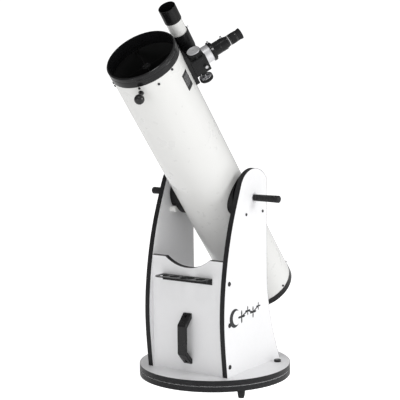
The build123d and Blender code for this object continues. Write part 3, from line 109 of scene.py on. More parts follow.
def colour(name, description, default):
    return bpy.props.FloatVectorProperty(
        name=name, description=description, default=default, subtype="COLOR", size=3, min=0.0, max=1.0
    )


class TelescopeFinishes(bpy.types.PropertyGroup):
    """Colours of the telescope's finishes."""

    enamel: colour("Tube enamel", "Gloss white of the main tube and the finder", (0.75, 0.75, 0.735))
    laminate: colour("Board laminate", "Satin white of the boards", (0.85, 0.85, 0.86))
    band: colour("Edge band", "Black of the boards' edge band", (0.010, 0.010, 0.011))
    moulding: colour("Moulded black", "Black of the end rings and hubs", (0.007, 0.007, 0.0075))
    lining: colour("Tube lining", "Flat black inside the tube", (0.003, 0.003, 0.003))
    satin: colour("Satin black", "Black of the focuser and the bracket", (0.006, 0.006, 0.0065))
    rubber: colour("Rubber", "Black of the grips, feet and eyecup", (0.011, 0.011, 0.0115))
    aluminium: colour("Bare aluminium", "Drawtube and knobs", (0.72, 0.72, 0.735))
    steel: colour("Screw steel", "Screws and springs", (0.6, 0.6, 0.61))
    polymer: colour("White polymer", "Bearing posts and pads", (0.84, 0.84, 0.81))
    print_ink: colour("Printed lines", "Grey lines of the label and the panel's mark", (0.42, 0.42, 0.43))


class TelescopeSizes(bpy.types.PropertyGroup):
    """Sizes of the pieces that are made here."""

    tube_radius: length("Tube radius", "Outside radius of the main tube", 117.0)
    tube_wall: length("Tube wall", "Wall of the main tube", 1.2)
    ring_proud: length("Ring proud", "How far the end rings stand out from the tube", 1.3)
    ring_wall: length("Ring wall", "Wall of the end rings", 5.8)
    finder_radius: length("Finder radius", "Outside radius of the finder's tube", 27.0)
    dew_radius: length("Dew shield radius", "Outside radius of the dew shield", 29.0)
    knob_radius: length("Focus knob radius", "Over the rubber of a focus knob", 22.5)
    knob_width: length("Focus knob width", "Along the focus shaft", 14.0)
    eyecup_radius: length("Eyecup radius", "Outside radius of the rubber eyecup", 18.9)


class TelescopeStage(bpy.types.PropertyGroup):
    """The camera and the studio lights."""

    eye: bpy.props.FloatVectorProperty(
        name="Camera place", description="Where the camera stands", default=(2.4419, -3.6227, 1.1992),
        subtype="TRANSLATION",
    )
    azimuth: number("Azimuth", "Camera's turn round the object", math.radians(34.59), "ANGLE")
    pitch: number("Pitch", "How far the camera looks down", math.radians(7.29), "ANGLE")
    roll: number("Roll", "Camera's tilt", math.radians(-0.60), "ANGLE")
    focal: number("Focal length", "Lens on a 36 mm sensor", 114.56)
    key: number("Key light", "Power of the main light in watts", 72.0)
    fill: number("Fill light", "Power of the fill light in watts", 20.0)
    edge: number("Edge light", "Power of the small high light in watts", 20.0)
    world: number("Surround", "Strength of the white surround", 0.5)


# ---------------------------------------------------------------- shaders
def node(tree, kind, at, feeds=None, **settings):
    """Adds a node at a grid place and sets its plain settings. Each input named in feeds is wired if its
    value is a socket, and set if it is a number or a colour."""
    made = tree.nodes.new(kind if kind.startswith("Node") else f"ShaderNode{kind}")
    made.location = (at[0] * 200, at[1] * -160)
    for key, value in settings.items():
        setattr(made, key, value)
    for key, value in (feeds or {}).items():
        if isinstance(value, bpy.types.NodeSocket):
            tree.links.new(value, made.inputs[key])
        else:
            made.inputs[key].default_value = value
    return made


def math_node(tree, operation, at, *values, use_clamp=False):
    """The result of a Math node whose inputs are given in order."""
    feeds = dict(enumerate(values))
    return node(tree, "Math", at, feeds, operation=operation, use_clamp=use_clamp).outputs[0]


def distance_from_axis(tree, vector, at):
    """How far a place is from its frame's z axis, and how far along it."""
    split = node(tree, "SeparateXYZ", at, {0: vector})
    flat = node(tree, "CombineXYZ", (at[0] + 1, at[1]), {"X": split.outputs["X"], "Y": split.outputs["Y"]})
    radius = node(tree, "VectorMath", (at[0] + 2, at[1]), {0: flat.outputs[0]}, operation="LENGTH")
    return radius.outputs["Value"], split.outputs["Z"]


def new_group(name, inputs, outputs):
    """A shader group with a Vector input, more inputs as (name, default), and number outputs. A default of
    None makes the input a vector."""
    group = bpy.data.node_groups.new(name, "ShaderNodeTree")
    group.interface.new_socket(name="Vector", in_out="INPUT", socket_type="NodeSocketVector")
    for socket_name, default in inputs:
        kind = "NodeSocketVector" if default is None else "NodeSocketFloat"
        socket = group.interface.new_socket(name=socket_name, in_out="INPUT", socket_type=kind)
        if default is not None:
            socket.default_value = default
    for socket_name in outputs:
        group.interface.new_socket(name=socket_name, in_out="OUTPUT", socket_type="NodeSocketFloat")
    return group, node(group, "NodeGroupInput", (-4, 0)).outputs


def leave_group(group, **results):
    node(group, "NodeGroupOutput", (6, 0), results)


def mottle_group():
    """Cloudy variation: two noises of different size, averaged and stretched to fill 0 to 1."""
    group, entry = new_group("mottle", [("Scale", 20.0), ("Contrast", 1.0)], ["Mask"])
    finer = math_node(group, "MULTIPLY", (-3, 2), entry["Scale"], 5.3)
    coarse = node(group, "TexNoise", (-2, 0), {"Vector": entry["Vector"], "Scale": entry["Scale"], "Detail": 3.0})
    fine = node(group, "TexNoise", (-2, 2), {"Vector": entry["Vector"], "Scale": finer, "Detail": 2.0})
    total = math_node(group, "ADD", (0, 1), coarse.outputs["Fac"], fine.outputs["Fac"])
    centred = math_node(group, "MULTIPLY_ADD", (1, 1), total, 1.2, -1.2)
    scaled = math_node(group, "MULTIPLY", (2, 1), centred, entry["Contrast"])
    leave_group(group, Mask=math_node(group, "ADD", (3, 1), scaled, 0.5, use_clamp=True))


def grain_group():
    """Moulded grain: small rounded cells whose edges are lower than their middles, plus fine noise."""
    group, entry = new_group("grain", [("Scale", 900.0)], ["Height"])
    place = {"Vector": entry["Vector"], "Scale": entry["Scale"]}
    cells = node(group, "TexVoronoi", (-2, 0), {**place, "Smoothness": 0.6}, feature="SMOOTH_F1")
    noise = node(group, "TexNoise", (-2, 2), {**place, "Detail": 4.0})
    both = math_node(group, "MULTIPLY_ADD", (1, 0), cells.outputs["Distance"], -0.6, noise.outputs["Fac"])
    leave_group(group, Height=both)


def turning_group():
    """Lathe marks: a fine noise read only by the distance along the axis and the distance out from it."""
    group, entry = new_group("turning", [("Scale", 3000.0)], ["Height"])
    radius, along = distance_from_axis(group, entry["Vector"], (-3, 0))
    place = node(group, "CombineXYZ", (0, 0), {"X": radius, "Y": along})
    noise = node(group, "TexNoise", (2, 0), {"Vector": place.outputs[0], "Scale": entry["Scale"], "Detail": 2.0})
    leave_group(group, Height=noise.outputs["Fac"])


def dust_group():
    """Dust: settles on faces that look up, broken up by noise."""
    group, entry = new_group("dust", [("Normal", None), ("Amount", 0.2)], ["Mask"])
    facing = node(group, "SeparateXYZ", (-2, 0), {0: entry["Normal"]}).outputs["Z"]
    upward = node(group, "MapRange", (-1, 0), {"Value": facing, "From Min": 0.1, "From Max": 1.0})
    noise = node(group, "TexNoise", (-1, 2), {"Vector": entry["Vector"], "Scale": 60.0, "Detail": 6.0})
    patch = node(group, "MapRange", (0, 2), {"Value": noise.outputs["Fac"], "From Min": 0.35, "From Max": 0.75})
    both = math_node(group, "MULTIPLY", (2, 0), upward.outputs[0], patch.outputs[0])
    leave_group(group, Mask=math_node(group, "MULTIPLY", (3, 0), both, entry["Amount"], use_clamp=True))


EFFECTS = {"mottle": mottle_group, "grain": grain_group, "turning": turning_group, "dust": dust_group}


class Finish:
    """One material being wired: its tree, its Principled shader and its object coordinates."""

    def __init__(self, name, frame_matrix=None):
        self.name = name
        self.material = bpy.data.materials.new(name)
        self.material.use_nodes = True
        self.tree = self.material.node_tree
        self.shader = self.tree.nodes["Principled BSDF"]
        self.shader.location = (1600, 0)
        self.tree.nodes["Material Output"].location = (1900, 0)
        self.row = 0
        self.normal = node(self.tree, "NewGeometry", (-2, 4)).outputs["Normal"]
        self.place = node(self.tree, "TexCoord", (-3, 0)).outputs["Object"]
        if frame_matrix is not None:
            self.place = self.turned_to(frame_matrix)

    def turned_to(self, frame_matrix):
        """Object coordinates seen from a piece's own frame."""
        inverse = frame_matrix.inverted()
        turn = {"Vector": self.place, "Location": inverse.to_translation(), "Rotation": inverse.to_euler("XYZ")}
        return node(self.tree, "Mapping", (-2, 0), turn).outputs[0]

    def constant(self, **values):
        """Sets the shader's own sockets; an underscore in a name stands for a space."""
        for key, value in values.items():
            socket = self.shader.inputs[key.replace("_", " ")]
            if hasattr(value, "__len__") and len(value) == 3:
                value = (*value, 1.0)
            socket.default_value = value

    def effect(self, name, **values):
        """Places a shared effect, wires the coordinates to it and sets its values."""
        self.row += 1
        if name not in bpy.data.node_groups:
            EFFECTS[name]()
        feeds = {"Vector": self.place, **values}
        if name == "dust":
            feeds["Normal"] = self.normal
        made = node(self.tree, "Group", (0, self.row * 2), feeds, node_tree=bpy.data.node_groups[name])
        return made.outputs[0]

    def blend(self, mask, low, high):
        """A colour that goes from low to high with the mask; either may be a colour or a socket."""
        self.row += 1
        ends = [end if isinstance(end, bpy.types.NodeSocket) else (*end, 1.0) for end in (low, high)]
        feeds = {"Factor": mask, 6: ends[0], 7: ends[1]}
        return node(self.tree, "Mix", (3, self.row * 2), feeds, data_type="RGBA").outputs[2]

    def spread(self, mask, low, high, start=0.0, stop=1.0):
        """A number that goes from low to high as the mask goes from start to stop."""
        self.row += 1
        feeds = {"Value": mask, "From Min": start, "From Max": stop, "To Min": low, "To Max": high}
        return node(self.tree, "MapRange", (2, self.row * 2), feeds).outputs[0]

    def feed(self, socket_name, output):
        self.tree.links.new(output, self.shader.inputs[socket_name])

    def bump(self, height, distance, strength=1.0):
        """A bump from a height mask; the distance is the real depth in millimetres."""
        self.row += 1
        feeds = {"Height": height, "Distance": mm(distance), "Strength": strength}
        self.feed("Normal", node(self.tree, "Bump", (5, self.row * 2), feeds).outputs[0])


def shade(rgb, factor):
    return tuple(min(1.0, channel * factor) for channel in rgb)


def gloss_enamel(name, rgb, frame_matrix):
    """Sprayed gloss enamel: a faint orange peel under a clear coat, and slow drifts of gloss."""
    finish = Finish(name, frame_matrix)
    finish.constant(Coat_Weight=0.6, Coat_Roughness=0.06, Specular_IOR_Level=0.5)
    drift = finish.effect("mottle", Scale=7.0, Contrast=0.8)
    peel = finish.effect("mottle", Scale=240.0, Contrast=1.0)
    dust = finish.effect("dust", Amount=0.1)
    paint = finish.blend(drift, shade(rgb, 0.985), rgb)
    finish.feed("Base Color", finish.blend(dust, paint, shade(rgb, 0.9)))
    finish.feed("Roughness", finish.spread(drift, 0.24, 0.34))
    finish.bump(peel, 0.05, 0.5)
    return finish


def melamine(name, rgb):
    """Board laminate: satin, with a fine pebbled pressing and faint handling marks."""
    finish = Finish(name)
    drift = finish.effect("mottle", Scale=9.0, Contrast=1.2)
    grain = finish.effect("grain", Scale=700.0)
    dust = finish.effect("dust", Amount=0.3)
    sheet = finish.blend(drift, shade(rgb, 0.975), rgb)
    finish.feed("Base Color", finish.blend(dust, sheet, shade(rgb, 0.9)))
    finish.feed("Roughness", finish.spread(drift, 0.34, 0.48))
    finish.bump(grain, 0.05, 0.5)
    return finish


def moulded_plastic(name, rgb, rough=0.38, grain_depth=0.04, scale=900.0, specular=0.22):
    """Moulded plastic: fine grain, lighter rubbed patches and a little dust on top."""
    finish = Finish(name)
    finish.constant(Specular_IOR_Level=specular)
    worn = finish.effect("mottle", Scale=35.0, Contrast=1.4)
    grain = finish.effect("grain", Scale=scale)
    dust = finish.effect("dust", Amount=0.1)
    body = finish.blend(worn, rgb, shade(rgb, 1.5))
    finish.feed("Base Color", finish.blend(dust, body, (0.07, 0.068, 0.066)))
    finish.feed("Roughness", finish.spread(worn, rough - 0.05, rough + 0.06))
    finish.bump(grain, grain_depth, 0.6)
    return finish


def turned_metal(name, rgb, frame_matrix, rough=0.24, marks_depth=0.012):
    """Turned metal: fine rings that follow the lathe, with slightly duller patches."""
    finish = Finish(name, frame_matrix)
    finish.constant(Metallic=1.0)
    marks = finish.effect("turning", Scale=2600.0)
    drift = finish.effect("mottle", Scale=60.0, Contrast=0.6)
    finish.feed("Base Color", finish.blend(drift, shade(rgb, 0.95), rgb))
    finish.feed("Roughness", finish.spread(marks, rough - 0.05, rough + 0.08, 0.3, 0.7))
    finish.bump(marks, marks_depth, 0.7)
    return finish


def screw_metal(name, rgb, rough=0.3):
    """Plated screws: patchy gloss with a few fine scratches."""
    finish = Finish(name)
    finish.constant(Metallic=1.0)
    drift = finish.effect("mottle", Scale=300.0, Contrast=1.6)
    finish.feed("Base Color", finish.blend(drift, shade(rgb, 0.8), rgb))
    finish.feed("Roughness", finish.spread(drift, rough - 0.08, rough + 0.15))
    finish.bump(drift, 0.02, 0.5)
    return finish


def mirror_glass(name):
    """An aluminised mirror with a trace of dust."""
    finish = Finish(name)
    finish.constant(Metallic=1.0, Base_Color=(0.9, 0.91, 0.92))
    dust = finish.effect("dust", Amount=0.6)
    finish.feed("Roughness", finish.spread(dust, 0.01, 0.25))
    return finish


def coated_lens(name, tint):
    """Coated glass over a dark barrel: almost black, with a tinted clear coat, and a painted reflection of the
    coating: the base colour turns to the tint at glancing angles.
    """
    finish = Finish(name)
    finish.constant(Coat_Weight=1.0, Coat_Roughness=0.01, Coat_IOR=1.8, Specular_IOR_Level=0.9)
    finish.shader.inputs["Coat Tint"].default_value = (*tint, 1.0)
    # painted reflection: the base colour goes from near black face-on to the coating's tint at glancing angles
    painted_glancing_reflection = node(finish.tree, "LayerWeight", (-1, 2), {"Blend": 0.35}).outputs["Facing"]
    finish.feed("Base Color", finish.blend(painted_glancing_reflection, (0.003, 0.004, 0.006), shade(tint, 0.12)))
    smear = finish.effect("mottle", Scale=90.0, Contrast=1.0)
    finish.feed("Roughness", finish.spread(smear, 0.02, 0.07))
    return finish


# ---------------------------------------------------------------- mesh code
def softened(points, radius, closed=False, steps=5):
    """Rounds a profile's corners. Round a corner c the new points are (1-t)^2 a + 2t(1-t) c + t^2 b, where
    a and b lie on its two sides, a radius away or just under half a side."""
    points = np.asarray(points, dtype=float)
    count = len(points)
    t = np.linspace(0.0, 1.0, steps)[:, None]
    rounded = []
    for index, corner in enumerate(points):
        if not closed and index in (0, count - 1):
            rounded.append(corner[None, :])
            continue
        before = points[index - 1] - corner
        after = points[(index + 1) % count] - corner
        ends = [corner + side * min(0.49, radius / max(np.hypot(*side), 1e-9)) for side in (before, after)]
        rounded.append((1 - t) ** 2 * ends[0] + 2 * t * (1 - t) * corner + t**2 * ends[1])
    return np.concatenate(rounded)


def revolved(profile, segments, closed, ribs=0, depth=0.0, ribbed=None):
    """A profile of (radius, height) carried round the z axis. At angle a the radius is
    r - depth * w * (1 - cos(ribs * a)) / 2, where w is 1 on the ribbed rows and 0 elsewhere."""
    profile = np.asarray(profile, dtype=float)
    rows = len(profile)
    angles = np.arange(segments) * 2.0 * np.pi / segments
    weight = np.zeros(rows) if ribbed is None else np.asarray(ribbed, dtype=float)
    radius = profile[:, :1] - depth * weight[:, None] * (0.5 - 0.5 * np.cos(ribs * angles))[None, :]
    vertices = np.stack(
        [radius * np.cos(angles), radius * np.sin(angles), np.repeat(profile[:, 1:], segments, axis=1)], axis=-1
    )
    return vertices.reshape(-1, 3), grid_faces(rows, segments, closed, True)


def grid_faces(rows, columns, close_rows, close_columns):
    """The quads of a grid of points, joined round where a direction is closed."""
    i = np.arange(rows if close_rows else rows - 1)[:, None]
    j = np.arange(columns if close_columns else columns - 1)[None, :]
    below = (i + 1) % rows
    beside = (j + 1) % columns
    corners = [i * columns + j, i * columns + beside, below * columns + beside, below * columns + j]
    return np.stack([np.broadcast_to(corner, (i.size, j.size)) for corner in corners], axis=-1).reshape(-1, 4)


def swept_plate(outline, low, high):
    """A flat outline given as (x, y) points, standing from low to high in z, with both ends closed."""
    outline = np.asarray(outline, dtype=float)
    count = len(outline)
    bottom = np.column_stack([outline, np.full(count, low)])
    top = np.column_stack([outline, np.full(count, high)])
    walls = grid_faces(2, count, False, True).tolist()
    caps = [list(range(count))[::-1], list(range(count, 2 * count))]
    return np.concatenate([bottom, top]), walls + caps


SHARP_ANGLE = 35.0


def linked(name, data):
    """A new object in the scene's collection."""
    made = bpy.data.objects.new(name, data)
    bpy.context.collection.objects.link(made)
    return made


def placed_object(name, points, faces, placed, sharp):
    """An object whose points, in millimetres in their own frame, are already in their place."""
    matrix = np.array(placed)
    mesh = bpy.data.meshes.new(name)
    mesh.from_pydata((points * 0.001 @ matrix[:3, :3].T + matrix[:3, 3]).tolist(), [], faces)
    tidy_mesh(mesh, sharp)
    return linked(name, mesh)


def piece(name, shapes, placed, body, finish, replaces=()):
    """The finish is a name in FINISHES."""
    vertices = []
    faces = []
    total = 0
    for points, quads in shapes:
        vertices.append(np.asarray(points))
        faces += [[index + total for index in face] for face in np.asarray(quads, dtype=object).tolist()]
        total += len(points)
    made = placed_object(name, np.concatenate(vertices), faces, placed, SHARP_ANGLE)
    made.data.materials.append(FINISHES[finish].material)
    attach(made, body)
    if replaces:
        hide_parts(*replaces)
    return made


def tidy_mesh(mesh, sharp):
    """Closes seams and poles, turns faces outwards and keeps edges sharper than the angle crisp."""
    work = bmesh.new()
    work.from_mesh(mesh)
    bmesh.ops.remove_doubles(work, verts=work.verts, dist=2e-6)
    bmesh.ops.dissolve_degenerate(work, edges=work.edges, dist=1e-7)
    bmesh.ops.recalc_face_normals(work, faces=work.faces)
    work.to_mesh(mesh)
    work.free()
    mesh.polygons.foreach_set("use_smooth", np.ones(len(mesh.polygons), dtype=bool))
    mesh.set_sharp_from_angle(angle=math.radians(sharp))


def shifted(shape, x=0.0, y=0.0, z=0.0):
    points, faces = shape
    return np.asarray(points) + np.array([x, y, z]), faces


def sleeve_shape(points, soft=0.6, segments=128):
    """A turned sleeve: a closed profile clear of the axis, with softened corners."""
    return revolved(softened(points, soft, closed=True), segments, True)


def ring_shape(outer, inner, low, high, soft=0.6):
    """A plain ring: a rectangle with softened corners carried round the axis."""
    return sleeve_shape([(outer, low), (outer, high), (inner, high), (inner, low)], soft)


def solid_shape(points, soft=0.6, segments=96):
    """A turned solid: an open profile from axis to axis, with softened corners."""
    return revolved(softened(points, soft), segments, False)


def knurled(outer, inner, low, high, ribs, depth, segments_per_rib=6, soft=0.5):
    """A sleeve whose outside wall is ribbed along the axis; the ribs fade out at both ends."""
    profile = softened([(outer, low), (outer, high), (inner, high), (inner, low)], soft, closed=True)
    ribbed = (profile[:, 0] > outer - soft * 0.7).astype(float)
    return revolved(profile, ribs * segments_per_rib, True, ribs, depth, ribbed)


SHANK_RADIUS = 1.5


def thumb_screw(head_radius, head_height, shank_length, ribs=24, lift=0.0):
    """A knurled head on its shank; the head stands up from z = lift and the shank hangs below it."""
    shank_radius = SHANK_RADIUS
    head = knurled(head_radius, shank_radius, 0.0, head_height, ribs, head_radius * 0.09)
    core = solid_shape([
        (0, -shank_length), (shank_radius, -shank_length), (shank_radius, 0.2),
        (shank_radius + 0.1, head_height * 0.9), (0, head_height * 0.9),
    ], 0.2, 32)
    return [shifted(shape, z=lift) for shape in (head, core)]


# ---------------------------------------------------------------- finishes of this telescope
FINISHES = {}


def enamel_tube(name, rgb, lining, frame_matrix, edge):
    """Gloss enamel outside and flat black lining inside, told apart by the distance from the axis."""
    finish = gloss_enamel(name, rgb, None)
    paint = finish.shader.inputs["Base Color"].links[0].from_socket
    paint_rough = finish.shader.inputs["Roughness"].links[0].from_socket
    radius, _ = distance_from_axis(finish.tree, finish.turned_to(frame_matrix), (-1, -2))
    skin = math_node(finish.tree, "GREATER_THAN", (2, -2), radius, mm(edge))
    finish.feed("Base Color", finish.blend(skin, lining, paint))
    rough = node(finish.tree, "Mix", (5, -3), {0: skin, 2: 0.85, 3: paint_rough}, data_type="FLOAT")
    finish.feed("Roughness", rough.outputs[0])
    finish.feed("Coat Weight", finish.spread(skin, 0.0, 0.6))
    return finish


def label_print(name, ink, middle, spare):
    """A black plate printed with short grey rules across its middle: a line pattern along the tube, broken
    where a coarse noise says so, and kept within a distance of the plate's middle."""
    finish = Finish(name, TUBE)
    finish.constant(Coat_Weight=0.3, Coat_Roughness=0.12, Specular_IOR_Level=0.25)
    tree = finish.tree
    along = node(tree, "SeparateXYZ", (-1, 0), {0: finish.place}).outputs["Z"]
    rules = math_node(tree, "PINGPONG", (1, 0), along, mm(2.9))
    thin = finish.spread(rules, 0.0, 1.0, mm(1.25), mm(1.5))
    away = math_node(tree, "ABSOLUTE", (2, 1), math_node(tree, "SUBTRACT", (1, 1), along, mm(middle)))
    inside = finish.spread(away, 1.0, 0.0, mm(spare), mm(spare + 0.5))
    broken = finish.spread(finish.effect("mottle", Scale=130.0, Contrast=3.0), 0.35, 1.0, 0.3, 0.5)
    printed = math_node(tree, "MULTIPLY", (4, 0), thin, inside)
    shown = math_node(tree, "MULTIPLY", (5, 0), printed, broken)
    finish.feed("Base Color", finish.blend(shown, (0.007, 0.007, 0.0075), shade(ink, 0.45)))
    drift = finish.effect("mottle", Scale=80.0, Contrast=1.0)
    finish.feed("Roughness", finish.spread(drift, 0.25, 0.4))
    return finish


def build_finishes(colours):
    """Makes every material once, in this telescope's own colours."""
    made = [
        enamel_tube("tube_enamel", colours.enamel, colours.lining, TUBE, edge=116.4),
        enamel_tube("finder_enamel", colours.enamel, colours.lining, FINDER, edge=15.0),
        melamine("board_laminate", colours.laminate),
        moulded_plastic("edge_band", colours.band, 0.42, 0.03, scale=600.0),
        moulded_plastic("end_ring_moulding", colours.moulding, 0.16, 0.008, scale=500.0, specular=0.3),
        moulded_plastic("hub_moulding", colours.moulding, 0.45, 0.06, scale=700.0),
        moulded_plastic("knob_moulding", colours.moulding, 0.24, 0.015, specular=0.35),
        moulded_plastic("polished_black", colours.moulding, 0.09, 0.004, scale=300.0, specular=0.45),
        moulded_plastic("lining_black", colours.lining, 0.8, 0.05, scale=400.0),
        moulded_plastic("satin_black", colours.satin, 0.28, 0.015, scale=1200.0),
        moulded_plastic("anodised_black", colours.satin, 0.22, 0.008, scale=1500.0),
        moulded_plastic("soft_rubber", colours.rubber, 0.68, 0.05, scale=1100.0),
        moulded_plastic("grip_rubber", shade(colours.rubber, 1.4), 0.55, 0.04, scale=1000.0),
        moulded_plastic("white_polymer", colours.polymer, 0.4, 0.03, scale=500.0),
        turned_metal("drawtube_metal", colours.aluminium, FOCUSER, 0.42, 0.003),
        turned_metal("shaft_metal", colours.aluminium, SHAFT, 0.38, 0.003),
        turned_metal("altitude_metal", colours.aluminium, RIGHT_ALTITUDE, 0.3),
        screw_metal("screw_steel", colours.steel),
        screw_metal("dark_steel", (0.06, 0.06, 0.065), 0.35),
        turned_metal("barrel_chrome", (0.8, 0.8, 0.81), FOCUSER, 0.1),
        mirror_glass("first_surface_mirror"),
        coated_lens("green_coating", (0.25, 0.55, 0.4)),
        coated_lens("violet_coating", (0.35, 0.3, 0.6)),
        label_print("label_print", colours.print_ink, middle=519.0, spare=18.0),
        moulded_plastic("mark_ink", (0.02, 0.02, 0.022), 0.4, 0.01),
        moulded_plastic("ring_ink", (0.5, 0.5, 0.5), 0.4, 0.01),
    ]
    FINISHES.update({finish.name: finish for finish in made})


CAD_FINISHES = {
    "board_laminate": ("ground_board", "rocker_board", "left_panel", "right_panel", "front_board"),
    "edge_band": ("ground_edging", "rocker_edging"),
    "soft_rubber": ("base_feet", "eyecup"),
    "white_polymer": ("azimuth_pads", "bearing_posts"),
    "screw_steel": (
        "azimuth_bolt", "collimation_springs", "collar_screws", "adapter_screw", "focus_tension_screw",
        "finder_adjust_screws",
    ),
    "dark_steel": ("panel_bolts", "wood_screws", "collimation_screws", "tube_screws"),
    "satin_black": (
        "eyepiece_rack", "mirror_carrier", "focuser_base", "focuser_body", "finder_bracket", "finder_shoe",
        "dew_shield", "rear_frame",
    ),
    "anodised_black": ("drawtube_collar", "eyepiece_adapter"),
    "knob_moulding": (
        "pull_handle", "board_plug", "mirror_clips", "collimation_knob_a", "collimation_knob_b",
        "collimation_knob_c", "shoe_screw",
    ),
    "hub_moulding": ("left_hub", "right_hub"),
    "end_ring_moulding": ("front_ring",),
    "lining_black": ("spider", "secondary_holder"),
    "polished_black": ("ball_knob", "eyepiece_body", "finder_eyepiece"),
    "grip_rubber": ("left_tension_handle", "right_tension_handle"),
    "tube_enamel": ("tube",),
    "finder_enamel": ("finder_tube",),
    "first_surface_mirror": ("primary_mirror", "secondary_mirror"),
    "label_print": ("label_plate",),
    "altitude_metal": ("tension_washers",),
    "shaft_metal": ("focus_shaft", "focus_knob_front", "focus_knob_rear", "focuser_rollers"),
    "drawtube_metal": ("drawtube",),
    "barrel_chrome": ("eyepiece_barrel",),
}


class TELESCOPE_OT_finishes(bpy.types.Operator):
    """Give every CAD part its finish."""

    bl_idname = "telescope.finishes"
    bl_label = "Finishes"

    def execute(self, context):
        build_finishes(context.scene.telescope_finishes)
        for finish_name, names in CAD_FINISHES.items():
            for name in names:
                part = frame["nodes"][name]
                part.data.materials.clear()
                part.data.materials.append(FINISHES[finish_name].material)
        return {"FINISHED"}


# Stations along the tube are millimetres from the altitude axis; radii are from the named frame's axis.
TUBE_FRONT = 601.7
TUBE_REAR = -451.4
FOCUSER_HOLE_RADIUS = 31.0


class TELESCOPE_OT_tube(bpy.types.Operator):
    """Make the smooth main tube with its focuser opening, and its front end ring."""

    bl_idname = "telescope.tube"
    bl_label = "Tube and ring"

    def execute(self, context):
        sizes = context.scene.telescope_sizes
        outer = sizes.tube_radius * 1000
        inner = outer - sizes.tube_wall * 1000
        front, rear = TUBE_FRONT, TUBE_REAR
        wall = revolved([(outer, rear), (outer, front), (inner, front), (inner, rear)], 256, True)
        made = piece("main_tube", [wall], TUBE, "tube", "tube_enamel", ["tube"])
        cut_round_hole(made, FOCUSER, FOCUSER_HOLE_RADIUS, low=90.0, high=140.0)
        lip = outer + sizes.ring_proud * 1000
        bore = lip - sizes.ring_wall * 1000
        ring = sleeve_shape([
            (lip, front), (lip, front + 21.0), (lip - 0.7, front + 22.0), (lip - 0.7, front + 24.0),
            (lip, front + 25.0), (lip, front + 33.2), (lip - 0.5, front + 34.9), (lip - 4.4, front + 37.3),
            (bore + 0.5, front + 36.9), (bore, front + 34.0),
            (bore, front), (inner - 2.9, front - 1.0), (inner - 2.9, front - 11.0), (inner - 0.15, front - 11.0),
            (inner - 0.15, front),
        ], 1.6, 256)
        piece("front_end_ring", [ring], TUBE, "tube", "end_ring_moulding",
              ["front_ring"])
        return {"FINISHED"}


def cut_round_hole(target, placed, radius, low, high):
    """Cuts a round hole along a frame's z axis through a piece, and keeps the result as its mesh."""
    points, faces = revolved([(0, low), (radius, low), (radius, high), (0, high)], 64, False)
    cutter = placed_object("hole_cutter", points, faces.tolist(), placed, SHARP_ANGLE)
    modifier = target.modifiers.new("hole", "BOOLEAN")
    modifier.operation = "DIFFERENCE"
    modifier.solver = "EXACT"
    modifier.object = cutter
    bpy.context.view_layer.update()
    evaluated = target.evaluated_get(bpy.context.evaluated_depsgraph_get())
    result = bpy.data.meshes.new_from_object(evaluated)
    target.modifiers.clear()
    old = target.data
    target.data = result
    bpy.data.meshes.remove(old)
    bpy.data.objects.remove(cutter)
    result.set_sharp_from_angle(angle=math.radians(SHARP_ANGLE))


KNOB_START = 47.0
SPOKE_COUNT = 6
SPOKE_ROOT = 5.5
SPOKE_HALF_WIDTH = 1.1


class TELESCOPE_OT_focus_knobs(bpy.types.Operator):
    """Make the two focus knobs: a flat-faced metal disc with a spoked back and a ribbed rubber grip."""

    bl_idname = "telescope.focus_knobs"
    bl_label = "Focus knobs"

    def execute(self, context):
        sizes = context.scene.telescope_sizes
        rim = sizes.knob_radius * 1000
        width = sizes.knob_width * 1000
        disc = sleeve_shape([
            (3.1, 1.0), (6.5, 1.0), (6.5, 7.0), (rim - 4.2, 7.0), (rim - 4.2, 0.6), (rim - 3.0, 0.0),
            (rim - 2.6, 0.6), (rim - 2.6, width - 2.2), (rim - 0.5, width - 2.2), (rim - 0.5, width - 0.6),
            (rim - 1.1, width), (rim - 1.9, width), (rim - 2.5, width - 0.5), (7.0, width - 0.5),
            (3.1, width - 0.6),
        ], 0.5, 96)
        outline = np.array([
            (SPOKE_ROOT, -SPOKE_HALF_WIDTH), (rim - 4.0, -SPOKE_HALF_WIDTH),
            (rim - 4.0, SPOKE_HALF_WIDTH), (SPOKE_ROOT, SPOKE_HALF_WIDTH),
        ])
        shapes = [shifted(disc, z=KNOB_START)]
        for index in range(SPOKE_COUNT):
            angle = index * 2 * math.pi / SPOKE_COUNT
            turn = np.array([[math.cos(angle), math.sin(angle)], [-math.sin(angle), math.cos(angle)]])
            shapes.append(shifted(swept_plate(outline @ turn, 2.0, 7.4), z=KNOB_START))
        grip = shifted(knurled(rim, rim - 2.55, 1.0, width - 2.3, 72, 0.8), z=KNOB_START)
        for turn, name in ((0.0, "front"), (math.pi, "rear")):
            at = SHAFT @ Matrix.Rotation(turn, 4, "X")
            piece(f"{name}_knob_disc", shapes, at, "focus_drive", "shaft_metal",
                  [f"focus_knob_{name}"])
            piece(f"{name}_knob_grip", [grip], at, "focus_drive", "soft_rubber")
        return {"FINISHED"}


def grip_profile(root, tip, low, high, pitch, depth):
    """A tapered grip with round grooves: at height z the radius is the taper less
    depth * max(0, cos(2 pi z / pitch))^2, with a smooth collar at the root and a domed tip."""
    z = np.linspace(low, high, 240)
    along = (z - low) / (high - low)
    taper = root + (tip - root) * along
    grooved = (z > low + 9.0) & (z < high - 9.0)
    grooves = depth * np.clip(np.cos(2 * np.pi * (z - low) / pitch), 0.0, 1.0) ** 2 * grooved
    dome = np.sqrt(np.clip(1.0 - ((z - (high - 7.0)) / 7.0).clip(0.0, 1.0) ** 2.4, 0.0, 1.0))
    radius = (taper - grooves) * dome
    body = np.column_stack([radius, z])
    return np.concatenate([[(0.0, low), (root - 0.8, low), (root, low + 0.8)], body[4:-1], [(0.0, high)]])


ROD_START = 122.4
ROD_END = 166.5
ROD_RADIUS = 5.0


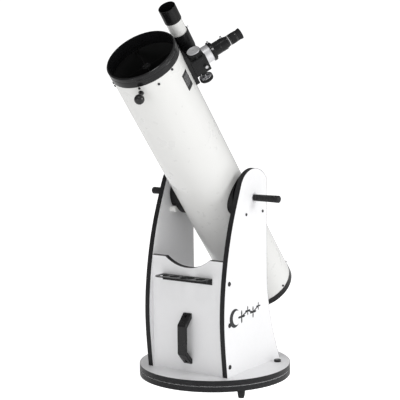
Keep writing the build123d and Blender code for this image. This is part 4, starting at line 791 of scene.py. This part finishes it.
class TELESCOPE_OT_tension_handles(bpy.types.Operator):
    """Make the two grooved rubber handles on the altitude axis, with their rods."""

    bl_idname = "telescope.tension_handles"
    bl_label = "Tension handles"

    def execute(self, context):
        profile = grip_profile(root=11.0, tip=12.5, low=166.0, high=265.0, pitch=6.2, depth=1.1)
        grip = revolved(profile, 96, False)
        rod = solid_shape([(0, ROD_START), (ROD_RADIUS, ROD_START), (ROD_RADIUS, ROD_END), (0, ROD_END)], 0.5, 48)
        for side, placed in (("left", LEFT_ALTITUDE), ("right", RIGHT_ALTITUDE)):
            body = f"{side}_handle"
            piece(f"{body}_grip", [grip], placed, body, "grip_rubber", [f"{side}_tension_handle"])
            piece(f"{body}_rod", [rod], placed, body, "screw_steel")
        return {"FINISHED"}


COLLAR_RADIUS = 33.0
COLLAR_STATION = 210.5
COLLAR_SCREW_ANGLES = {"a": 0.0, "b": 50.0}
FINDER_RING_RADIUS = 33.0
ADJUSTER_STATION = 576.0
ADJUSTER_ANGLES = (0.0, 60.0, 120.0)
SHOE_STATION = 552.5
SHOE_HEIGHT = 124.0


def collar_place(degrees):
    """The frame on the drawtube collar's side at an angle from the focuser's x, facing out."""
    turn = math.radians(degrees)
    facing = FOCUSER.to_3x3() @ Vector((math.cos(turn), math.sin(turn), 0.0))
    at = Vector(mm(COLLAR_RADIUS * math.cos(turn), COLLAR_RADIUS * math.sin(turn), COLLAR_STATION))
    return placed_on(FOCUSER @ at, facing, FOCUSER_AXIS)


class TELESCOPE_OT_thumb_screws(bpy.types.Operator):
    """Make the knurled screws of the focuser, the eyepiece holders and the finder."""

    bl_idname = "telescope.thumb_screws"
    bl_label = "Thumb screws"

    def execute(self, context):
        collar = thumb_screw(3.5, 7.0, 7.5, lift=1.0)
        for name, degrees in COLLAR_SCREW_ANGLES.items():
            replaced = ["collar_screws"] if name == "a" else []
            piece(f"collar_screw_{name}", collar, collar_place(degrees), "draw", "screw_steel",
                  replaced)
        turned = (
            ("holder_screw", "adapter_screw_turn", "adapter_lock", "adapter_screw",
             thumb_screw(3.5, 7.0, 7.6, lift=2.0)),
            ("brake_screw", "focus_tension_turn", "focus_tension", "focus_tension_screw",
             thumb_screw(5.5, 9.0, 9.5, 32, lift=0.3)),
        )
        for name, joint, body, replaced, screw in turned:
            at = placed_on(joint_point(joint), joint_axis(joint), FOCUSER_AXIS)
            piece(name, screw, at, body, "screw_steel", [replaced])
        outward = (joint_point("finder_focus") - PIVOT - TUBE_AXIS * FINDER_STATION).normalized()
        sideways = TUBE_AXIS.cross(outward)
        adjusters = []
        for degrees in ADJUSTER_ANGLES:
            facing = outward * math.cos(math.radians(degrees)) + sideways * math.sin(math.radians(degrees))
            at = placed_on(FINDER @ Vector((0, 0, mm(ADJUSTER_STATION))), facing, TUBE_AXIS)
            turn = np.array(FINDER.inverted() @ at)
            for points, faces in thumb_screw(4.5, 9.0, 5.8, 28, lift=FINDER_RING_RADIUS):
                adjusters.append((points @ turn[:3, :3].T + turn[:3, 3] * 1000, faces))
        piece("finder_adjusters", adjusters, FINDER, "finder", "screw_steel",
              ["finder_adjust_screws"])
        lock = thumb_screw(4.5, 9.0, 5.6, 28, lift=16.0)
        at = placed_on(PIVOT + TUBE_AXIS * mm(SHOE_STATION) + outward * mm(SHOE_HEIGHT), sideways, TUBE_AXIS)
        piece("shoe_lock_screw", lock, at, "shoe_lock", "knob_moulding", ["shoe_screw"])
        return {"FINISHED"}


class TELESCOPE_OT_eyepiece(bpy.types.Operator):
    """Make the drawtube, its collar, the adapter, and the eyepiece with its bands, grip, eyecup and lens."""

    bl_idname = "telescope.eyepiece"
    bl_label = "Drawtube and eyepiece"

    def execute(self, context):
        cup = context.scene.telescope_sizes.eyecup_radius * 1000
        tube = ring_shape(29.0, 26.0, 100.0, 204.9, 0.4)
        piece("smooth_drawtube", [tube], FOCUSER, "draw", "drawtube_metal", ["drawtube"])
        collar = ring_shape(COLLAR_RADIUS, 25.5, 205.0, 216.0, 2.2)
        piece("rounded_collar", [collar], FOCUSER, "draw", "anodised_black", ["drawtube_collar"])
        adapter = sleeve_shape([
            (25.4, 182.1), (25.4, 216.1), (27.5, 216.1), (27.5, 219.1), (22.0, 219.1), (22.0, 240.0),
            (21.4, 241.0), (21.4, 243.0), (22.0, 244.0), (22.0, 262.1), (19.5, 262.6), (19.5, 268.1), (15.925, 268.1),
            (15.925, 182.1),
        ])
        piece("turned_adapter", [adapter], FOCUSER, "adapter", "anodised_black",
              ["eyepiece_adapter"])
        body = solid_shape([
            (0, 268.4), (17.4, 268.4), (18.0, 269.2), (18.0, 273.6), (17.5, 274.0), (17.5, 276.4), (18.0, 276.8),
            (18.0, 281.6), (17.2, 282.2), (17.2, 297.6), (18.0, 298.2), (18.0, 305.6), (17.2, 306.4), (0, 306.4),
        ], 0.4, 128)
        piece("eyepiece_housing", [body], FOCUSER, "eyepiece", "polished_black", ["eyepiece_body"])
        mark = ring_shape(17.9, 17.45, 274.3, 276.1, 0.2)
        piece("eyepiece_ring", [mark], FOCUSER, "eyepiece", "ring_ink")
        grip = knurled(18.2, 17.1, 282.6, 297.2, 60, 0.55)
        piece("eyepiece_grip", [grip], FOCUSER, "eyepiece", "soft_rubber")
        eyecup = solid_shape([
            (0, 306.5), (cup - 1.8, 306.5), (cup - 1.2, 308.4), (cup - 2.0, 310.2), (cup - 1.0, 314.0),
            (cup, 321.6), (cup - 0.6, 322.5), (cup - 1.6, 322.3), (cup - 3.2, 314.0), (13.0, 312.6), (0, 312.6),
        ], 0.8, 128)
        piece("rubber_eyecup", [eyecup], FOCUSER, "eyepiece", "soft_rubber", ["eyecup"])
        lens = lens_shape(radius=11.5, back=312.4, edge=313.0, rise=1.6)
        piece("eye_lens", [lens], FOCUSER, "eyepiece", "green_coating")
        return {"FINISHED"}


def lens_shape(radius, back, edge, rise, rows=14):
    """A lens: flat behind, and in front z = edge + rise * (1 - (r / radius)^2)."""
    r = np.linspace(radius, 0.0, rows)
    front = np.column_stack([r, edge + rise * (1.0 - (r / radius) ** 2)])
    return revolved(np.concatenate([[(0.0, back), (radius, back)], front]), 96, False)


class TELESCOPE_OT_finder(bpy.types.Operator):
    """Make the finder's tube, dew shield, retaining rings and lenses."""

    bl_idname = "telescope.finder"
    bl_label = "Finder"

    def execute(self, context):
        sizes = context.scene.telescope_sizes
        barrel = sizes.finder_radius * 1000
        dew = sizes.dew_radius * 1000
        tube = sleeve_shape([
            (barrel, 640.0), (barrel, 492.0), (16.0, 476.0), (16.0, 452.0), (14.5, 452.0), (14.5, 491.0),
            (barrel - 1.5, 493.0), (barrel - 1.5, 640.0),
        ], 0.9)
        piece("finder_barrel", [tube], FINDER, "finder", "finder_enamel", ["finder_tube"])
        shield = sleeve_shape([
            (dew, 634.0), (dew, 640.0), (dew - 0.5, 640.6), (dew - 0.5, 642.4), (dew, 643.0), (dew, 688.0),
            (dew - 1.95, 688.0), (dew - 1.95, 654.0), (24.4, 653.0), (24.4, 647.0), (dew - 1.95, 646.0),
            (dew - 1.95, 634.0),
        ], 0.7)
        piece("dew_shield_shell", [shield], FINDER, "dew", "satin_black", ["dew_shield"])
        lens = lens_shape(radius=24.6, back=647.4, edge=649.0, rise=2.6)
        piece("finder_objective", [lens], FINDER, "dew", "violet_coating")
        housing = solid_shape([
            (0, 451.8), (17.0, 451.8), (17.0, 446.0), (16.4, 445.4), (16.4, 434.0), (17.0, 433.4), (17.0, 424.4),
            (12.4, 424.0), (11.6, 428.0), (0, 428.0),
        ], 0.5)
        spigot = solid_shape([(0, 451.5), (14.35, 451.5), (14.35, 461.9), (0, 461.9)], 0.4, 96)
        piece("finder_eye_housing", [housing, spigot], FINDER, "finder", "polished_black",
              ["finder_eyepiece"])
        grip = knurled(17.0, 16.2, 434.6, 444.8, 48, 0.5)
        piece("finder_eye_grip", [grip], FINDER, "finder", "soft_rubber")
        points, faces = lens_shape(radius=11.0, back=-428.2, edge=-427.6, rise=1.0)
        piece("finder_eye_lens", [(points * np.array([1, -1, -1]), faces)], FINDER, "finder",
              "green_coating")
        seal = sleeve_shape([(27.0, 0.0), (29.0, 0.0), (29.0, 2.2), (27.0, 2.2)], 1.1, 96)
        piece("finder_seal_ring", [shifted(seal, z=526.0)], FINDER, "finder", "soft_rubber")
        return {"FINISHED"}


BALL_RADIUS = 16.5
BALL_HEIGHT = 149.0
BALL_STATION = 578.0
BALL_ANGLE = -72.0
FOOT_RING_RADIUS = 238.0
FOOT_ANGLES = (-34.5, 85.5, 205.5)


class TELESCOPE_OT_knob_and_feet(bpy.types.Operator):
    """Make the ball knob on its post, and the three turned rubber feet."""

    bl_idname = "telescope.knob_and_feet"
    bl_label = "Ball knob and feet"

    def execute(self, context):
        angle = math.radians(BALL_ANGLE)
        across = TUBE.to_3x3() @ Vector((math.cos(angle), math.sin(angle), 0.0))
        at = placed_on(PIVOT + TUBE_AXIS * mm(BALL_STATION), across, TUBE_AXIS)
        turn = np.linspace(math.radians(-68.0), math.pi / 2, 40)
        ball = np.column_stack([BALL_RADIUS * np.cos(turn), BALL_HEIGHT + BALL_RADIUS * np.sin(turn)])
        ball[-1, 0] = 0.0
        post = softened([(0, 116.9), (9.6, 117.3), (8.6, 119.6), (6.6, 127.0), (5.9, 132.0), tuple(ball[0])], 2.0)
        shape = revolved(np.concatenate([post[:-1], ball]), 96, False)
        piece("turned_ball_knob", [shape], at, "tube", "polished_black", ["ball_knob"])
        foot = solid_shape([
            (0, 0), (9.2, 0), (10.2, 1.4), (11.4, 8.0), (12.0, 8.6), (14.0, 30.0), (0, 30.0),
        ], 1.2, 72)
        feet = []
        for turn in map(math.radians, FOOT_ANGLES):
            feet.append(shifted(foot, FOOT_RING_RADIUS * math.cos(turn), FOOT_RING_RADIUS * math.sin(turn)))
        piece("turned_feet", feet, Matrix.Identity(4), "ground", "soft_rubber", ["base_feet"])
        return {"FINISHED"}


def star_outline(y, z, radius, count=64):
    """A four-pointed star: at angle a its radius is R * (0.26 + 0.74 * |cos 2a|^4)."""
    angles = np.linspace(0.0, 2 * np.pi, count, endpoint=False)
    reach = radius * (0.26 + 0.74 * np.abs(np.cos(2 * angles)) ** 4)
    return np.column_stack([y + reach * np.cos(angles), z + reach * np.sin(angles)])


def bar_outline(start, stop, width):
    start = np.array(start, dtype=float)
    stop = np.array(stop, dtype=float)
    along = (stop - start) / np.hypot(*(stop - start))
    side = np.array([-along[1], along[0]]) * width / 2
    return np.array([start - side, stop - side, stop + side, start + side])


def crescent_outline(y, z, radius, bite, offset, count=40):
    """The part of a disc that a second disc, set off to one side, leaves."""
    reach = (radius**2 - bite**2 + offset**2) / (2 * offset)
    height = math.sqrt(radius**2 - reach**2)
    outer_end = math.atan2(height, reach)
    inner_end = math.atan2(height, reach - offset)
    outer = np.linspace(outer_end, 2 * math.pi - outer_end, count)
    inner = np.linspace(2 * math.pi - inner_end, inner_end, count)[1:-1]
    return np.concatenate([
        np.column_stack([y + radius * np.cos(outer), z + radius * np.sin(outer)]),
        np.column_stack([y + offset + bite * np.cos(inner), z + bite * np.sin(inner)]),
    ])


PANEL_FACE = 163.3
BOLT_DEPTH = -153.0
BOLT_HEIGHTS = (103.5, 245.5, 386.0)


def standing(side):
    """The frame with x along y, y up and z out of the panel on a side: 1 for right, -1 for left."""
    return np.array([[0, 0, side, 0], [1, 0, 0, 0], [0, 1, 0, 0], [0, 0, 0, 1]], dtype=float)


class TELESCOPE_OT_bolt_caps(bpy.types.Operator):
    """Make the domed caps over the bolts that hold the front board, with a round recess in each."""

    bl_idname = "telescope.bolt_caps"
    bl_label = "Bolt caps"

    def execute(self, context):
        dome = np.linspace(0.0, math.pi / 2, 12)
        cap = np.column_stack([4.4 + 3.4 * np.cos(dome), 1.0 + 2.2 * np.sin(dome)])
        profile = np.concatenate([[(0.0, 0.02), (7.8, 0.02)], cap, [(3.0, 3.2), (2.2, 2.3), (0.0, 2.3)]])
        turned = revolved(profile, 48, False)
        shapes = [shifted(turned, BOLT_DEPTH, height, PANEL_FACE) for height in BOLT_HEIGHTS]
        for side, name in ((1, "right"), (-1, "left")):
            piece(f"{name}_bolt_caps", shapes, standing(side), "rocker", "knob_moulding")
        return {"FINISHED"}


MARK_BACK = 163.31
MARK_FRONT = 163.42
BAR_SUNK = 0.03


class TELESCOPE_OT_panel_mark(bpy.types.Operator):
    """Print a crescent and a chain of stars on the right-hand panel."""

    bl_idname = "telescope.panel_mark"
    bl_label = "Panel mark"

    def execute(self, context):
        stars = ((-78.0, 262.0, 22.0), (-40.0, 276.0, 16.0), (-6.0, 265.0, 20.0), (28.0, 280.0, 14.0))
        shapes = [crescent_outline(-120.0, 264.0, 32.0, 24.5, 12.0)]
        shapes += [star_outline(*star) for star in stars]
        for first, second in zip(stars, stars[1:]):
            shapes.append(bar_outline(first[:2], second[:2], 5.0))
        plates = []
        for index, outline in enumerate(shapes):
            sunk = 0.0 if index <= len(stars) else BAR_SUNK
            plates.append(swept_plate(outline, MARK_BACK, MARK_FRONT - sunk))
        piece("panel_stars", plates, standing(1), "rocker", "mark_ink")
        return {"FINISHED"}


# ---------------------------------------------------------------- studio
FLOOR_GLOW = 0.42
FLOOR_GLOW_SEEN = 0.74


def as_seen(tree, at, lighting, seen):
    """One strength for lighting the object and another for what the camera sees."""
    ray = node(tree, "LightPath", at).outputs["Is Camera Ray"]
    return node(tree, "Mix", (at[0] + 1, at[1]), {0: ray, 2: lighting, 3: seen}, data_type="FLOAT").outputs[0]


def area_light(name, power, side, place, target):
    """A square light that faces the target."""
    light = bpy.data.lights.new(name, "AREA")
    light.energy = power
    light.shape = "SQUARE"
    light.size = side
    made = linked(name, light)
    made.location = place
    made.rotation_euler = (Vector(target) - Vector(place)).to_track_quat("-Z", "Y").to_euler()


class TELESCOPE_OT_stage(bpy.types.Operator):
    """Set the pale floor, the white surround, the studio lights and the camera."""

    bl_idname = "telescope.stage"
    bl_label = "Studio"

    def execute(self, context):
        stage = context.scene.telescope_stage
        reach = 30.0
        mesh = bpy.data.meshes.new("floor")
        corners = [(-reach, -reach, 0), (reach, -reach, 0), (reach, reach, 0), (-reach, reach, 0)]
        mesh.from_pydata(corners, [], [(0, 1, 2, 3)])
        floor = linked("floor", mesh)
        paper = Finish("pale_floor")
        paper.constant(Roughness=0.7, Base_Color=(0.93, 0.93, 0.93), Specular_IOR_Level=0.1)
        paper.constant(Emission_Color=(1.0, 1.0, 1.0))
        paper.feed("Emission Strength", as_seen(paper.tree, (2, 6), FLOOR_GLOW, FLOOR_GLOW_SEEN))
        mesh.materials.append(paper.material)
        self.surround(stage)
        area_light("key", stage.key, 1.5, (4.4, 0.5, 2.0), (0.0, 0.0, 0.6))
        area_light("fill", stage.fill, 2.0, (-0.4, -4.6, 1.0), (0.0, 0.0, 0.5))
        area_light("edge", stage.edge, 1.0, (0.9, -3.0, 4.4), (0.0, 0.0, 0.9))
        self.camera(stage)
        return {"FINISHED"}

    def surround(self, stage):
        """A white surround, brighter on the key side; the eye sees it as plain white."""
        world = bpy.data.worlds.new("surround")
        bpy.context.scene.world = world
        world.use_nodes = True
        tree = world.node_tree
        background = tree.nodes["Background"]
        direction = node(tree, "TexCoord", (-4, 0)).outputs["Generated"]
        sideways = node(tree, "SeparateXYZ", (-3, 0), {0: direction}).outputs["X"]
        side = node(tree, "MapRange", (-2, 0), {
            "Value": sideways, "From Min": -0.8, "From Max": 0.9,
            "To Min": stage.world * 0.5, "To Max": stage.world * 1.45,
        })
        tree.links.new(as_seen(tree, (-2, 2), side.outputs[0], 1.1), background.inputs["Strength"])
        background.inputs["Color"].default_value = (1.0, 1.0, 1.0, 1.0)

    def camera(self, stage):
        """Right, up and back axes from the azimuth, the pitch and the roll."""
        camera = bpy.data.cameras.new("camera")
        camera.sensor_width = 36.0
        camera.lens = stage.focal
        camera.clip_end = 100.0
        made = linked("camera", camera)
        turn = Matrix.Rotation(stage.azimuth, 4, "Z")
        tip = Matrix.Rotation(math.pi / 2 - stage.pitch, 4, "X")
        made.matrix_world = Matrix.Translation(stage.eye) @ turn @ tip @ Matrix.Rotation(stage.roll, 4, "Z")
        bpy.context.scene.camera = made
        bpy.context.scene.view_settings.view_transform = "Standard"


# ---------------------------------------------------------------- add-on
class TELESCOPE_PT_looks(bpy.types.Panel):
    """Lists the telescope's pieces, finishes and studio."""

    bl_idname = "TELESCOPE_PT_looks"
    bl_label = "Telescope"
    bl_space_type = "VIEW_3D"
    bl_region_type = "UI"
    bl_category = "Telescope"

    def draw(self, context):
        for operator in OPERATORS:
            self.layout.operator(operator.bl_idname)
        for group in GROUPS:
            settings = getattr(context.scene, group)
            box = self.layout.box()
            for name in settings.__annotations__:
                box.prop(settings, name)


GROUPS = {
    "telescope_finishes": TelescopeFinishes, "telescope_sizes": TelescopeSizes, "telescope_stage": TelescopeStage,
}
OPERATORS = (
    TELESCOPE_OT_finishes,
    TELESCOPE_OT_tube,
    TELESCOPE_OT_focus_knobs,
    TELESCOPE_OT_tension_handles,
    TELESCOPE_OT_thumb_screws,
    TELESCOPE_OT_eyepiece,
    TELESCOPE_OT_finder,
    TELESCOPE_OT_knob_and_feet,
    TELESCOPE_OT_bolt_caps,
    TELESCOPE_OT_panel_mark,
    TELESCOPE_OT_stage,
)


CLASSES = (*GROUPS.values(), *OPERATORS, TELESCOPE_PT_looks)


def register():
    for kind in CLASSES:
        bpy.utils.register_class(kind)
    for name, group in GROUPS.items():
        setattr(bpy.types.Scene, name, bpy.props.PointerProperty(type=group))


def unregister():
    for name in GROUPS:
        delattr(bpy.types.Scene, name)
    for kind in reversed(CLASSES):
        bpy.utils.unregister_class(kind)


def main():
    register()
    for operator in OPERATORS:
        group, name = operator.bl_idname.split(".")
        getattr(getattr(bpy.ops, group), name)()


if __name__ == "__main__":
    main()
